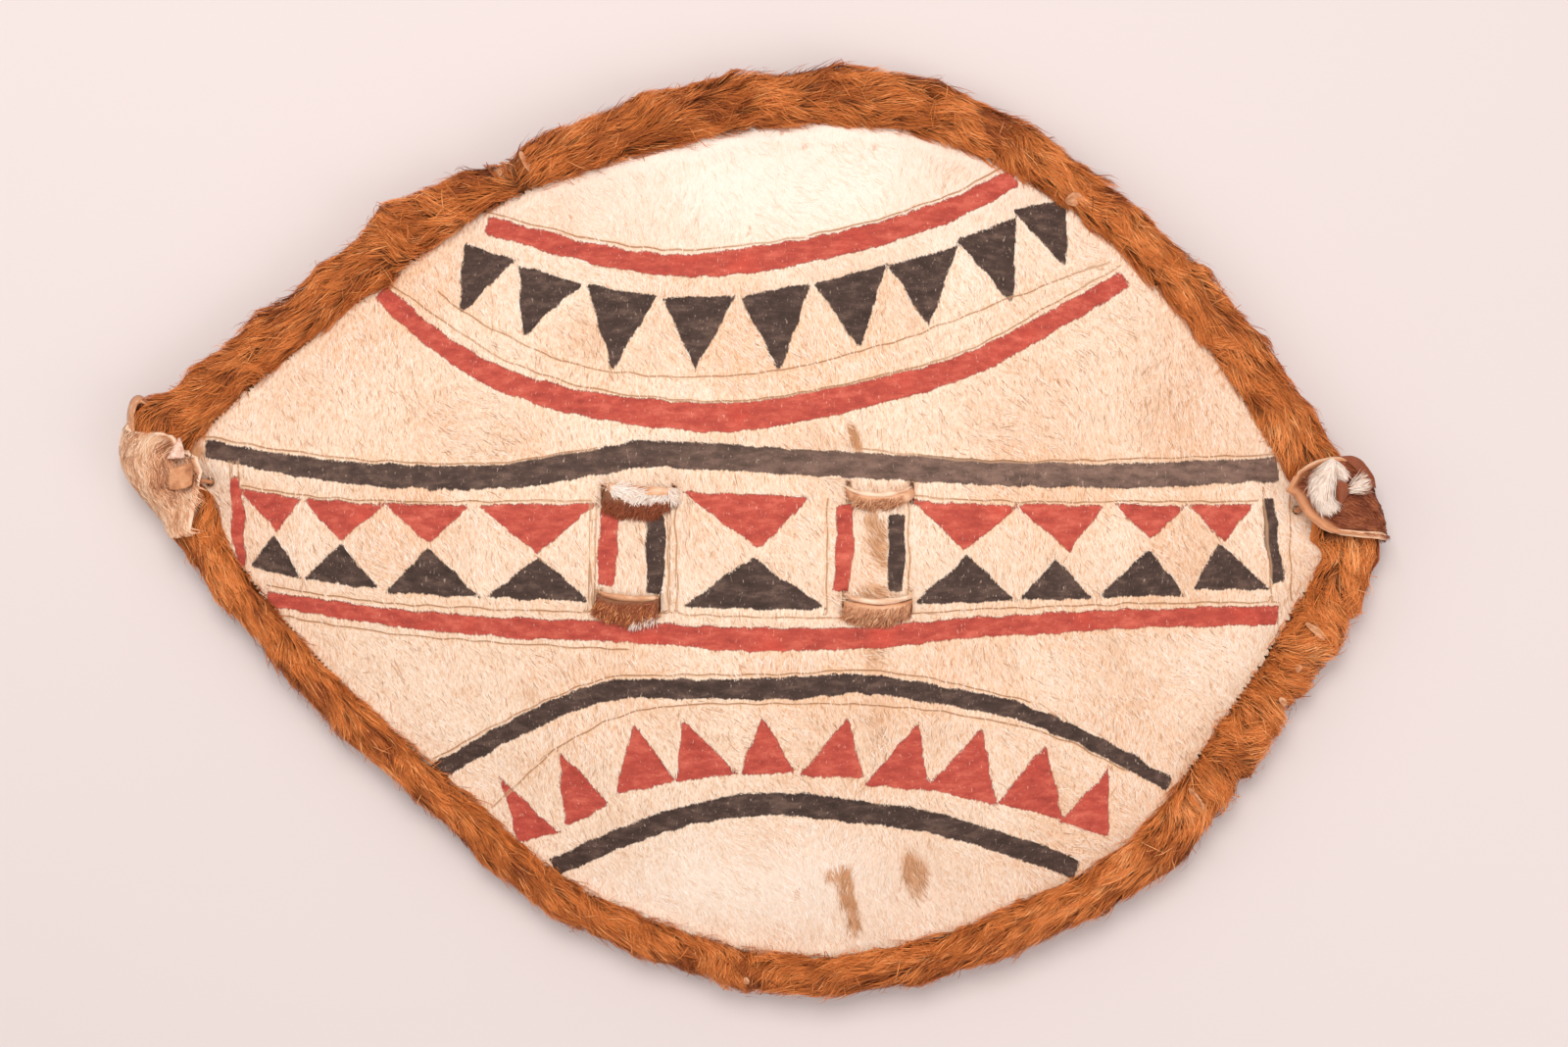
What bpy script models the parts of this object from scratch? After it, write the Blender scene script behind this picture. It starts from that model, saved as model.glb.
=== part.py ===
# A shield of painted hide in a rolled rim of goat fur, lying on its back with its face up.
# +X runs to the right along the face, +Y up the face and +Z out of it.
# The origin is under the middle of the shield, on the surface that it lies on.

import math

import bmesh
import bpy
from mathutils import Vector

# Space between pieces that touch
TOUCH = 0.0003

# Rim: overall reach of the roll's middle line, and the roll's greatest width and its height
RIM_SPAN = 0.646
RIM_RISE = 0.471
ROLL_WIDTH = 0.034
ROLL_HEIGHT = 0.030
ROLL_SINK = 0.0008
ROLL_SIDES = 13
ROLL_STEP = 0.0118
TIGHT_PITCH = 0.03
TIGHT_STEP = 0.0071

# Outline of the rim's middle line, anticlockwise from the right tip:
# shares of half the span, of half the rise and of the roll's width
OUTLINE = [
    (1.000, -0.043, 0.96),
    (0.923, 0.173, 0.97),
    (0.795, 0.437, 0.87),
    (0.635, 0.673, 0.80),
    (0.438, 0.876, 0.87),
    (0.224, 0.981, 1.00),
    (0.003, 0.979, 1.00),
    (-0.211, 0.909, 0.95),
    (-0.433, 0.788, 0.78),
    (-0.589, 0.662, 0.92),
    (-0.758, 0.484, 0.88),
    (-0.925, 0.295, 0.90),
    (-0.998, 0.160, 0.95),
    (-0.958, 0.050, 0.84),
    (-0.880, -0.112, 0.68),
    (-0.726, -0.358, 0.66),
    (-0.515, -0.621, 0.67),
    (-0.342, -0.824, 0.68),
    (-0.170, -0.941, 0.70),
    (0.035, -1.017, 0.70),
    (0.240, -1.004, 0.73),
    (0.462, -0.902, 0.77),
    (0.659, -0.752, 0.85),
    (0.798, -0.513, 0.93),
    (0.913, -0.272, 0.92),
]
OUTLINE_STEPS = 24

# Fur strips, anticlockwise: name, where the strip starts as shares of half the span and rise,
# then the pitch, depth and slant of its locks
STRIPS = [
    ("rim_upper_right", (1.000, 0.020), 0.047, 0.0019, 1.0),
    ("rim_top", (0.537, 0.756), 0.052, 0.0020, -1.0),
    ("rim_upper_left", (-0.380, 0.842), 0.044, 0.0022, 1.0),
    ("rim_bottom", (-1.000, 0.110), 0.049, 0.0016, -1.0),
    ("rim_lower_right", (0.740, -0.633), 0.026, 0.0022, 1.0),
]

# Folds that stand out of the roll: place as shares of half the span and rise, reach and height
FOLDS = [
    (-0.580, 0.670, 0.028, 0.0030),
    (-1.010, 0.285, 0.011, 0.0090),
    (0.930, -0.230, 0.020, 0.0025),
]

# Hide: a sheet whose edge sits in a slot in the roll, flat at first and then domed
HIDE_THICKNESS = 0.003
HIDE_EDGE_HEIGHT = 0.015
DOME_RISE = 0.048
DOME_POWER = 1.15
DOME_TOP = Vector((0.0, -0.004))
FLANGE = 0.010
EDGE_SLOT_DEPTH = 0.0065
EDGE_PLAY = 0.0008
HIDE_SPOKES = 64
HIDE_RINGS = 5
RING_SPREAD = 1.15

# Lashings: flat thongs, each with an upper and a lower stitch on the face and a sling behind
THONG_WIDTH = 0.012
THONG_THICKNESS = 0.0022
THONG_ARCH = 0.0024
LASHING_X = (-0.060, 0.068)
STITCH_LENGTH = 0.037
STITCH_Y = (0.0200, -0.0405)
SLIT_CLEARANCE = 0.0005
SLING_PLAY = 0.0008

# Stave: a peeled stick behind the hide, thinner at its ends, bent aside and up at its middle
STAVE_RADIUS = 0.0065
STAVE_END_RADIUS = 0.0040
STAVE_MIDDLE_Y = -0.0090
STAVE_BOW = 0.008
STAVE_CLEARANCE = 0.0012
STAVE_PAST_HOLE = 0.0055
STAVE_POINTS = 19

# Caps: hide patches folded round the tips, from the face over the outer side to the back
CAP_THICKNESS = 0.0024
CAP_STAND = 0.0010
CAP_PINCH = 0.003
CAP_FADE = 0.012
CAP_ROWS = 7
CAP_COLUMNS = 11

# Each cap: side, top and bottom of the patch as shares of half the rise, how far it stands off
# the roll inside and outside, how far round it goes in degrees, and the reach of its front edge
# towards the middle, as pairs of share along the patch and reach
LEFT_CAP = {
    "side": -1,
    "top": 0.185,
    "bottom": 0.016,
    "stand_in": 0.0130,
    "stand_out": 0.0008,
    "round": 296.0,
    "edge": [(0.0, 0.0085), (0.42, 0.0215), (0.70, 0.0140), (1.0, 0.0040)],
}
RIGHT_CAP = {
    "side": 1,
    "top": 0.125,
    "bottom": -0.014,
    "stand_in": 0.0075,
    "stand_out": 0.0060,
    "round": 284.0,
    "edge": [(0.0, -0.0060), (0.15, 0.0060), (0.36, 0.0185), (0.70, 0.0160), (1.0, 0.0030)],
}

# Ties: thongs through a hole near each tip, round the stave and up through a slot in the cap
TIE_WIDTH = 0.0032
TIE_THICKNESS = 0.0024
HOLE_RADIUS = 0.0027
SLOT_LENGTH = 0.0052
SLOT_WIDTH = 0.0058
LEFT_HOLE = (0.040, 0.0115)
RIGHT_HOLE = (0.088, 0.0065)
LEFT_SLOT_HEIGHT = 0.085
RIGHT_SLOT_HEIGHT = 0.060
TAB_LENGTH = 0.0105
TAB_WIDTH = 0.0106
TAB_THICKNESS = 0.0030
LEFT_SLOT_REACH = 0.0190
RIGHT_SLOT_REACH = 0.0115
TUFT_LENGTH = 0.021
TUFT_WIDTH = 0.0125
TUFT_THICKNESS = 0.0060

# Pear of the right tie's fur, from the slot to its tip: shares of its width back from the slot,
# of its length along the rim, of its width and of its thickness
TUFT_SHAPE = [
    (0.25, 0.16, 0.45, 0.6),
    (0.50, 0.05, 0.80, 0.8),
    (0.62, -0.20, 1.00, 1.0),
    (0.60, -0.50, 0.75, 0.9),
    (0.50, -0.78, 0.25, 0.4),
]

# Colour, roughness and metallic value of each material
MATERIALS = {
    "painted_hide": ((0.86, 0.68, 0.54), 0.85, 0.0),
    "goat_fur": ((0.42, 0.13, 0.03), 0.90, 0.0),
    "pale_hide": ((0.76, 0.52, 0.36), 0.88, 0.0),
    "dark_hide": ((0.22, 0.07, 0.03), 0.88, 0.0),
    "thong": ((0.70, 0.42, 0.26), 0.80, 0.0),
    "white_fur": ((0.90, 0.80, 0.70), 0.90, 0.0),
    "wood": ((0.30, 0.17, 0.08), 0.70, 0.0),
}


def smooth_curve(points, steps, closed):
    """Points of a smooth curve through the given ones, which are vectors of any length."""
    count = len(points)
    spans = count if closed else count - 1
    curve = []
    for i in range(spans):
        near = []
        for k in (-1, 0, 1, 2):
            at = (i + k) % count if closed else min(max(i + k, 0), count - 1)
            near.append(Vector(points[at]))
        a, b, c, d = near
        for j in range(steps):
            t = j / steps
            bend = (2 * a - 5 * b + 4 * c - d) * t * t
            turn = (3 * b - a - 3 * c + d) * t ** 3
            curve.append((2 * b + (c - a) * t + bend + turn) / 2)
    if not closed:
        curve.append(Vector(points[-1]))
    return curve


def blend(share, start, end):
    """The value at a share of the way from start to end."""
    return start + (end - start) * share


def read_pairs(pairs, share):
    """The value at a share, from pairs of share and value in rising order."""
    for (s0, v0), (s1, v1) in zip(pairs, pairs[1:]):
        if share <= s1:
            return blend((share - s0) / (s1 - s0), v0, v1)
    return pairs[-1][1]


# Middle line of the rim as points of x, y and half the roll's width, with the length run so far
rim_points = smooth_curve(
    [(x * RIM_SPAN / 2, y * RIM_RISE / 2, w * ROLL_WIDTH / 2) for x, y, w in OUTLINE],
    OUTLINE_STEPS,
    True,
)
rim_runs = [0.0]
for here, there in zip(rim_points, rim_points[1:] + rim_points[:1]):
    rim_runs.append(rim_runs[-1] + (there - here).xy.length)
RIM_LENGTH = rim_runs[-1]


def rim_at(run):
    """Place, inward direction and half width of the roll at a run along the rim."""
    run %= RIM_LENGTH
    count = len(rim_points)
    low, high = 0, count
    while high - low > 1:
        middle = (low + high) // 2
        if rim_runs[middle] <= run:
            low = middle
        else:
            high = middle
    share = (run - rim_runs[low]) / (rim_runs[low + 1] - rim_runs[low])
    ring = [rim_points[(low + k) % count] for k in (-1, 0, 1, 2)]
    point = ring[1].lerp(ring[2], share)
    along = (ring[2] - ring[0]).xy.normalized().lerp((ring[3] - ring[1]).xy.normalized(), share)
    along.normalize()
    return point.xy, Vector((-along.y, along.x)), point.z


def run_near(place):
    """The run along the rim that is nearest to a place on the plan."""
    target = Vector(place)
    nearest = min(range(len(rim_points)), key=lambda i: (rim_points[i].xy - target).length)
    return rim_runs[nearest]


def run_at_height(side, height):
    """The run where the rim passes a height on the left or the right side."""
    choices = [i for i, p in enumerate(rim_points) if p.x * side > RIM_SPAN / 4]
    nearest = min(choices, key=lambda i: abs(rim_points[i].y - height))
    return rim_runs[nearest]


def gap_along(run, start, end):
    """How far a run lies outside a stretch of the rim, or nought inside it."""
    middle = (start + end) / 2
    away = abs((run - middle + RIM_LENGTH / 2) % RIM_LENGTH - RIM_LENGTH / 2)
    return max(0.0, away - abs(end - start) / 2)


for cap in (LEFT_CAP, RIGHT_CAP):
    cap["start"] = run_at_height(cap["side"], cap["top"] * RIM_RISE / 2)
    cap["end"] = run_at_height(cap["side"], cap["bottom"] * RIM_RISE / 2)
# The left patch is met from its top, the right one, going anticlockwise, from its bottom
RIGHT_CAP["end"] -= 0.0 if RIGHT_CAP["end"] < RIM_LENGTH / 2 else RIM_LENGTH


def under_cap(run):
    """One under a cap, nought away from it, and a smooth step between."""
    cover = 0.0
    for cap in (LEFT_CAP, RIGHT_CAP):
        away = (gap_along(run, cap["start"], cap["end"]) - ROLL_STEP) / CAP_FADE
        cover = max(cover, 1.0 - min(1.0, max(0.0, away)))
    return cover * cover * (3 - 2 * cover)


# Heights of the roll's section
ROLL_HALF = ROLL_HEIGHT / 2
ROLL_MIDDLE = ROLL_HALF - ROLL_SINK


def inner_half(run):
    """Half width of the roll on its inner side, where the ties pull it in under the caps."""
    half = rim_at(run)[2]
    return half - CAP_PINCH * under_cap(run)


def slot_inset(run):
    """Distance from the rim's middle line in to the bottom of the slot for the hide's edge."""
    return rim_at(run)[2] - EDGE_SLOT_DEPTH


# Plan of the ring where the hide's flat edge ends, by direction from the top of the dome
flange_ring = []
for run in [RIM_LENGTH * i / 360 for i in range(360)]:
    at, inward, half = rim_at(run)
    edge = at + inward * (slot_inset(run) + EDGE_PLAY + FLANGE)
    offset = edge - DOME_TOP
    flange_ring.append((math.atan2(offset.y, offset.x), offset.length))
flange_ring.sort()


def flange_reach(direction):
    """Distance from the top of the dome to the flat edge, in a direction on the plan."""
    turn = math.tau
    before, after = flange_ring[-1], flange_ring[0]
    before = (before[0] - turn, before[1])
    for pair in flange_ring + [(flange_ring[0][0] + turn, flange_ring[0][1])]:
        after = pair
        if after[0] >= direction:
            break
        before = after
    share = (direction - before[0]) / max(after[0] - before[0], 1e-9)
    return blend(share, before[1], after[1])


def hide_middle(x, y):
    """Height of the middle of the hide's thickness at a place on the plan."""
    offset = Vector((x, y)) - DOME_TOP
    share = offset.length / flange_reach(math.atan2(offset.y, offset.x))
    if share >= 1.0:
        return HIDE_EDGE_HEIGHT
    return HIDE_EDGE_HEIGHT + DOME_RISE * (1.0 - share * share) ** DOME_POWER


def hide_top(x, y):
    """Height of the face of the hide."""
    return hide_middle(x, y) + HIDE_THICKNESS / 2


def hide_back(x, y):
    """Height of the back of the hide."""
    return hide_middle(x, y) - HIDE_THICKNESS / 2


def make_material(name):
    """A material with the colour, roughness and metallic value listed for it."""
    colour, roughness, metallic = MATERIALS[name]
    material = bpy.data.materials.new(name)
    material.use_nodes = True
    shader = material.node_tree.nodes["Principled BSDF"]
    shader.inputs["Base Color"].default_value = (*colour, 1.0)
    shader.inputs["Roughness"].default_value = roughness
    shader.inputs["Metallic"].default_value = metallic
    return material


def add_object(name, mesh, at, material):
    """Put a mesh given in shield coordinates in the scene, with its origin at a place."""
    for vertex in mesh.vertices:
        vertex.co -= at
    obj = bpy.data.objects.new(name, mesh)
    obj.location = at
    obj.parent = shield_origin
    obj.data.materials.append(materials[material])
    shield.objects.link(obj)
    return obj


def loft(name, sections, closed, at, material):
    """A closed body through sections, each a loop of the same number of points."""
    shape = bmesh.new()
    loops = [[shape.verts.new(point) for point in section] for section in sections]
    pairs = list(zip(loops, loops[1:]))
    if closed:
        pairs.append((loops[-1], loops[0]))
    for first, second in pairs:
        for i in range(len(first)):
            j = (i + 1) % len(first)
            shape.faces.new((first[i], first[j], second[j], second[i]))
    if not closed:
        shape.faces.new(loops[0])
        shape.faces.new(loops[-1])
    bmesh.ops.recalc_face_normals(shape, faces=shape.faces)
    mesh = bpy.data.meshes.new(name)
    shape.to_mesh(mesh)
    shape.free()
    mesh.shade_smooth()
    mesh.set_sharp_from_angle(angle=math.radians(50))
    return add_object(name, mesh, at, material)


def cut(target, cutter, operation):
    """Cut one object by another, or join it to the first."""
    modifier = target.modifiers.new(operation.lower(), "BOOLEAN")
    modifier.object = cutter
    modifier.operation = operation
    modifier.solver = "EXACT"
    cutter.hide_render = True
    cutter.display_type = "WIRE"


def add_box_cutter(name, at, size, turn):
    """A box for cutting, turned about the vertical."""
    shape = bmesh.new()
    bmesh.ops.create_cube(shape, size=1.0)
    bmesh.ops.scale(shape, vec=size, verts=shape.verts)
    mesh = bpy.data.meshes.new(name)
    shape.to_mesh(mesh)
    shape.free()
    return place_cutter(name, mesh, at, turn)


def add_round_cutter(name, at, radius, depth):
    """An upright cylinder for cutting."""
    shape = bmesh.new()
    bmesh.ops.create_cone(shape, cap_ends=True, segments=12, radius1=radius, radius2=radius, depth=depth)
    mesh = bpy.data.meshes.new(name)
    shape.to_mesh(mesh)
    shape.free()
    return place_cutter(name, mesh, at, 0.0)


def place_cutter(name, mesh, at, turn):
    """Put a cutter in its own collection."""
    obj = bpy.data.objects.new(name, mesh)
    obj.location = at
    obj.rotation_euler = (0.0, 0.0, turn)
    obj.parent = shield_origin
    cutters.objects.link(obj)
    return obj


def roll_section(run, locks):
    """One loop of the roll's section, with the slot that holds the hide's edge."""
    at, inward, half = rim_at(run)
    inner = inner_half(run)
    cover = under_cap(run)
    floor = cover * (CAP_THICKNESS + CAP_STAND + TOUCH)
    slot = HIDE_THICKNESS / 2 + TOUCH
    pitch, depth, slant = locks

    rise = 0.0
    for x, y, reach, height in FOLDS:
        away = (at - Vector((x * RIM_SPAN / 2, y * RIM_RISE / 2))).length / reach
        rise += height * math.exp(-away * away)

    first = math.asin((HIDE_EDGE_HEIGHT + slot - ROLL_MIDDLE) / ROLL_HALF)
    last = math.asin((HIDE_EDGE_HEIGHT - slot - ROLL_MIDDLE) / ROLL_HALF) + math.tau
    loop = []
    for i in range(ROLL_SIDES):
        angle = blend(i / (ROLL_SIDES - 1), first, last)
        free = max(0.0, math.sin((angle - first) / (last - first) * math.pi)) ** 0.5
        wave = math.tau * run / pitch + slant * angle
        ridge = 1.0 - 2.0 * abs(math.sin(wave / 2)) ** 0.7
        drift = 0.5 * math.sin(0.37 * wave + 2 * angle)
        outer = (1.0 - math.cos(angle)) / 2
        swell = (depth * (ridge + drift) * (1.0 - cover) + rise * outer) * free
        wide = inner if math.cos(angle) > 0 else half
        out = -(wide + swell) * math.cos(angle)
        up = ROLL_MIDDLE + (ROLL_HALF + swell * max(0.0, math.sin(angle))) * math.sin(angle)
        plan = at - inward * out
        loop.append(Vector((plan.x, plan.y, max(up, floor))))
    for height in (HIDE_EDGE_HEIGHT - slot, HIDE_EDGE_HEIGHT + slot):
        plan = at + inward * slot_inset(run)
        loop.append(Vector((plan.x, plan.y, height)))
    return loop


def make_rim():
    """The five fur strips, butted end to end round the hide."""
    starts = [run_near((x * RIM_SPAN / 2, y * RIM_RISE / 2)) for _, (x, y), *_ in STRIPS]
    for i, (name, _, *locks) in enumerate(STRIPS):
        start = starts[i] + TOUCH / 2
        end = starts[(i + 1) % len(STRIPS)] - TOUCH / 2
        length = (end - start) % RIM_LENGTH
        steps = math.ceil(length / (ROLL_STEP if locks[0] > TIGHT_PITCH else TIGHT_STEP))
        sections = [roll_section(start + length * k / steps, locks) for k in range(steps + 1)]
        at, inward, half = rim_at(start + length / 2)
        loft(name, sections, False, Vector((at.x, at.y, 0.0)), "goat_fur")


def make_hide():
    """The painted sheet: a flat edge, then a dome, cut by the lashings' slits and the ties' holes."""
    shape = bmesh.new()
    rings = []
    for ring in range(HIDE_RINGS + 1):
        loop = []
        for spoke in range(HIDE_SPOKES):
            run = RIM_LENGTH * spoke / HIDE_SPOKES
            at, inward, half = rim_at(run)
            edge = at + inward * (slot_inset(run) + EDGE_PLAY)
            share = 0.0
            if ring > 0:
                edge = edge + inward * FLANGE
                share = ((ring - 1) / HIDE_RINGS) ** RING_SPREAD
            plan = edge.lerp(DOME_TOP, share)
            loop.append(shape.verts.new((plan.x, plan.y, hide_middle(plan.x, plan.y))))
        rings.append(loop)
    for outer, inner in zip(rings, rings[1:]):
        for i in range(HIDE_SPOKES):
            j = (i + 1) % HIDE_SPOKES
            shape.faces.new((outer[i], outer[j], inner[j], inner[i]))
    centre = shape.verts.new((DOME_TOP.x, DOME_TOP.y, HIDE_EDGE_HEIGHT + DOME_RISE))
    for i in range(HIDE_SPOKES):
        shape.faces.new((rings[-1][i], rings[-1][(i + 1) % HIDE_SPOKES], centre))
    mesh = bpy.data.meshes.new("hide_face")
    shape.to_mesh(mesh)
    shape.free()
    mesh.shade_smooth()
    hide = add_object("hide_face", mesh, Vector((0.0, 0.0, HIDE_EDGE_HEIGHT)), "painted_hide")
    solidify = hide.modifiers.new("thickness", "SOLIDIFY")
    solidify.thickness = HIDE_THICKNESS
    solidify.offset = 0.0
    solidify.use_even_offset = True

    depth = 4 * HIDE_THICKNESS
    slit = (THONG_THICKNESS + 2 * SLIT_CLEARANCE, THONG_WIDTH + 2 * SLIT_CLEARANCE, depth)
    for middle in LASHING_X:
        for end in (-1, 1):
            for y in STITCH_Y:
                x = middle + end * STITCH_LENGTH / 2
                at = (x, y, hide_middle(x, y))
                cut(hide, add_box_cutter("slit", at, slit, 0.0), "DIFFERENCE")
    for hole in (left_hole, right_hole):
        at = (hole.x, hole.y, hide_middle(hole.x, hole.y))
        cut(hide, add_round_cutter("hole", at, HOLE_RADIUS, depth), "DIFFERENCE")


def thong_section(middle, along, across, width, thickness):
    """A flat loop of eight points with rounded sides, square to the thong's direction."""
    across = (across - along * across.dot(along)).normalized()
    up = along.cross(across)
    loop = []
    for w, t in ((-0.5, 0.2), (-0.38, 0.5), (0.38, 0.5), (0.5, 0.2)):
        loop.append(middle + across * (w * width) + up * (t * thickness))
    for w, t in ((0.5, -0.2), (0.38, -0.5), (-0.38, -0.5), (-0.5, -0.2)):
        loop.append(middle + across * (w * width) + up * (t * thickness))
    return loop


def thong_sections(route, steps, closed):
    """Sections along a route whose points hold x, y, z, the turn of the width, and both sizes."""
    points = smooth_curve(route, steps, closed)
    count = len(points)
    sections = []
    for i, point in enumerate(points):
        before = points[(i - 1) % count] if closed else points[max(i - 1, 0)]
        after = points[(i + 1) % count] if closed else points[min(i + 1, count - 1)]
        along = (Vector(after[:3]) - Vector(before[:3])).normalized()
        across = Vector((point[3], point[4], point[5]))
        sections.append(thong_section(Vector(point[:3]), along, across, point[6], point[7]))
    return sections


def stave_at(x):
    """Place and radius of the stave where it passes an x."""
    left = stave_end(left_hole, -1)
    right = stave_end(right_hole, 1)
    share = (x - left.x) / (right.x - left.x)
    bow = 1.0 - (2.0 * share - 1.0) ** 2
    y_line = blend(share, left.y, right.y)
    sideways = (STAVE_MIDDLE_Y - (left.y + right.y) / 2) * bow
    radius = blend(bow ** 0.7, STAVE_END_RADIUS, STAVE_RADIUS) if bow > 0 else STAVE_END_RADIUS
    low = HIDE_EDGE_HEIGHT - HIDE_THICKNESS / 2 - STAVE_CLEARANCE - STAVE_END_RADIUS
    return Vector((x, y_line + sideways, low + STAVE_BOW * bow)), radius


def stave_end(hole, side):
    """Plan of an end of the stave, past the tie's hole and beside the tie."""
    beside = STAVE_END_RADIUS + 2 * TOUCH + TIE_THICKNESS / 2
    return Vector((hole.x + side * STAVE_PAST_HOLE, hole.y - beside))


def make_stave():
    """The stick, as a round bar through points of a bowed line."""
    ends = (stave_end(left_hole, -1).x, stave_end(right_hole, 1).x)
    curve = bpy.data.curves.new("stave", "CURVE")
    curve.dimensions = "3D"
    curve.bevel_depth = 1.0
    curve.bevel_resolution = 2
    curve.use_fill_caps = True
    curve.resolution_u = 1
    curve.render_resolution_u = 0
    spline = curve.splines.new("POLY")
    spline.points.add(STAVE_POINTS - 1)
    for i, point in enumerate(spline.points):
        at, radius = stave_at(blend(i / (STAVE_POINTS - 1), *ends))
        point.co = (at.x, at.y, at.z, 1.0)
        point.radius = radius
    spline.use_smooth = True
    stave = bpy.data.objects.new("stave", curve)
    stave.parent = shield_origin
    curve.materials.append(materials["wood"])
    shield.objects.link(stave)


def make_lashing(name, middle):
    """One closed thong: a stitch, a leg down and under the stave, the other stitch and back."""
    lift = 2 * TOUCH + THONG_THICKNESS / 2
    ends = (middle - STITCH_LENGTH / 2, middle + STITCH_LENGTH / 2)
    route = []

    def add(x, y, z, turn):
        turn = math.radians(turn)
        across = (-math.sin(turn), math.cos(turn), 0.0)
        route.append((x, y, z, *across, THONG_WIDTH, THONG_THICKNESS))

    for side, turn in ((0, 0.0), (1, 180.0)):
        y, other = STITCH_Y[side], STITCH_Y[1 - side]
        start, end = (ends[0], ends[1]) if side == 0 else (ends[1], ends[0])
        add(start, y, hide_top(start, y) + 0.3 * THONG_ARCH, turn)
        for share in (0.05, 0.16, 0.35, 0.65, 0.84, 0.95):
            x = blend(share, start, end)
            arch = THONG_ARCH * math.sin(math.pi * share) ** 0.45
            add(x, y, hide_top(x, y) + lift + arch, turn)
        add(end, y, hide_top(end, y) + 0.3 * THONG_ARCH, turn)
        back = hide_back(end, y)
        add(end, y, back - THONG_THICKNESS, turn)
        stave, radius = stave_at(end)
        hug = radius + SLING_PLAY + THONG_THICKNESS / 2
        beside = stave.y + (hug if y > other else -hug)
        far = stave.y - (beside - stave.y)
        add(end, blend(0.35, y, beside), blend(0.35, back, stave.z), turn + 50.0)
        add(end, blend(0.75, y, beside), blend(0.75, back, stave.z), turn + 90.0)
        add(end, beside, stave.z, turn + 90.0)
        for angle in (30.0, 60.0, 90.0, 120.0, 150.0):
            swing = math.cos(math.radians(angle)) * (beside - stave.y)
            drop = math.sin(math.radians(angle)) * hug
            add(end, stave.y + swing, stave.z - drop, turn + 90.0)
        add(end, far, stave.z, turn + 90.0)
        back = hide_back(end, other)
        add(end, blend(0.25, far, other), blend(0.25, stave.z, back), turn + 90.0)
        add(end, blend(0.65, far, other), blend(0.65, stave.z, back), turn + 130.0)
        add(end, other, back - THONG_THICKNESS, turn + 180.0)
    sections = thong_sections(route, 1, True)
    loft(name, sections, True, Vector((middle, STITCH_Y[0], HIDE_EDGE_HEIGHT + DOME_RISE)), "thong")


def cap_width(cap, share, run, inside):
    """Half width of the cap's own curve, inside or outside the rim's middle line."""
    if inside:
        return inner_half(run) + cap["stand_in"]
    return rim_at(run)[2] + cap["stand_out"] * math.sin(math.pi * share)


def cap_height(cap, reach, run, offset):
    """Height of the cap above a place that lies inside the rim's middle line by a reach."""
    wide = cap_width(cap, 0.0, run, True) + offset
    return ROLL_MIDDLE + (ROLL_HALF + offset) * math.sqrt(1.0 - (reach / wide) ** 2)


def make_cap(name, cap, material, slot):
    """A patch of hide wrapped round the roll, cut by the slot for the tie."""
    sections = []
    for row in range(CAP_ROWS + 1):
        share = row / CAP_ROWS
        run = blend(share, cap["start"], cap["end"])
        at, inward, half = rim_at(run)
        reach = read_pairs(cap["edge"], share)
        wide = cap_width(cap, share, run, reach > 0)
        first = math.acos(reach / wide)
        last = math.radians(cap["round"])
        sheet = []
        for offset in (CAP_STAND, CAP_STAND + CAP_THICKNESS):
            line = []
            for column in range(CAP_COLUMNS + 1):
                angle = blend(column / CAP_COLUMNS, first, last)
                wide = cap_width(cap, share, run, math.cos(angle) > 0)
                lean = Vector((math.cos(angle) / wide, math.sin(angle) / ROLL_HALF)).normalized()
                plan = at + inward * (wide * math.cos(angle) + lean.x * offset)
                up = ROLL_MIDDLE + ROLL_HALF * math.sin(angle) + lean.y * offset
                floor = CAP_THICKNESS + CAP_STAND + TOUCH - offset
                line.append(Vector((plan.x, plan.y, max(up, floor))))
            sheet.append(line)
        sections.append(sheet[0] + sheet[1][::-1])
    patch = loft(name, sections, False, sections[0][0].copy(), material)
    at, inward, half = rim_at(slot[0])
    place = at + inward * slot[1]
    top = cap_height(cap, slot[1], slot[0], CAP_THICKNESS)
    turn = math.atan2(inward.y, inward.x)
    size = (SLOT_LENGTH, SLOT_WIDTH, 6 * CAP_THICKNESS)
    cutter = add_box_cutter(name + "_slot", (place.x, place.y, top), size, turn)
    cut(patch, cutter, "DIFFERENCE")


def tie_tail(hole):
    """Route of a tie from above its hole, down beside the stave, round below it and up again."""
    stave, radius = stave_at(hole.x)
    hug = radius + TOUCH + TIE_THICKNESS / 2
    across = (1.0, 0.0, 0.0)
    edge = hide_top(hole.x, hole.y)
    back = hide_back(hole.x, hole.y)
    tail = [(hole.x, hole.y, edge + TIE_THICKNESS / 2, *across, TIE_WIDTH, TIE_THICKNESS)]
    tail.append((hole.x, hole.y, back - TOUCH, *across, TIE_WIDTH, TIE_THICKNESS))
    for angle in (0.0, 45.0, 90.0, 135.0, 180.0):
        swing = math.cos(math.radians(angle)) * hug
        drop = math.sin(math.radians(angle)) * hug
        tail.append((hole.x, stave.y + swing, stave.z - drop, *across, TIE_WIDTH, TIE_THICKNESS))
    end = back - TIE_THICKNESS
    tail.append((hole.x, stave.y - hug, end, *across, TIE_WIDTH, TIE_THICKNESS))
    return tail


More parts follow.
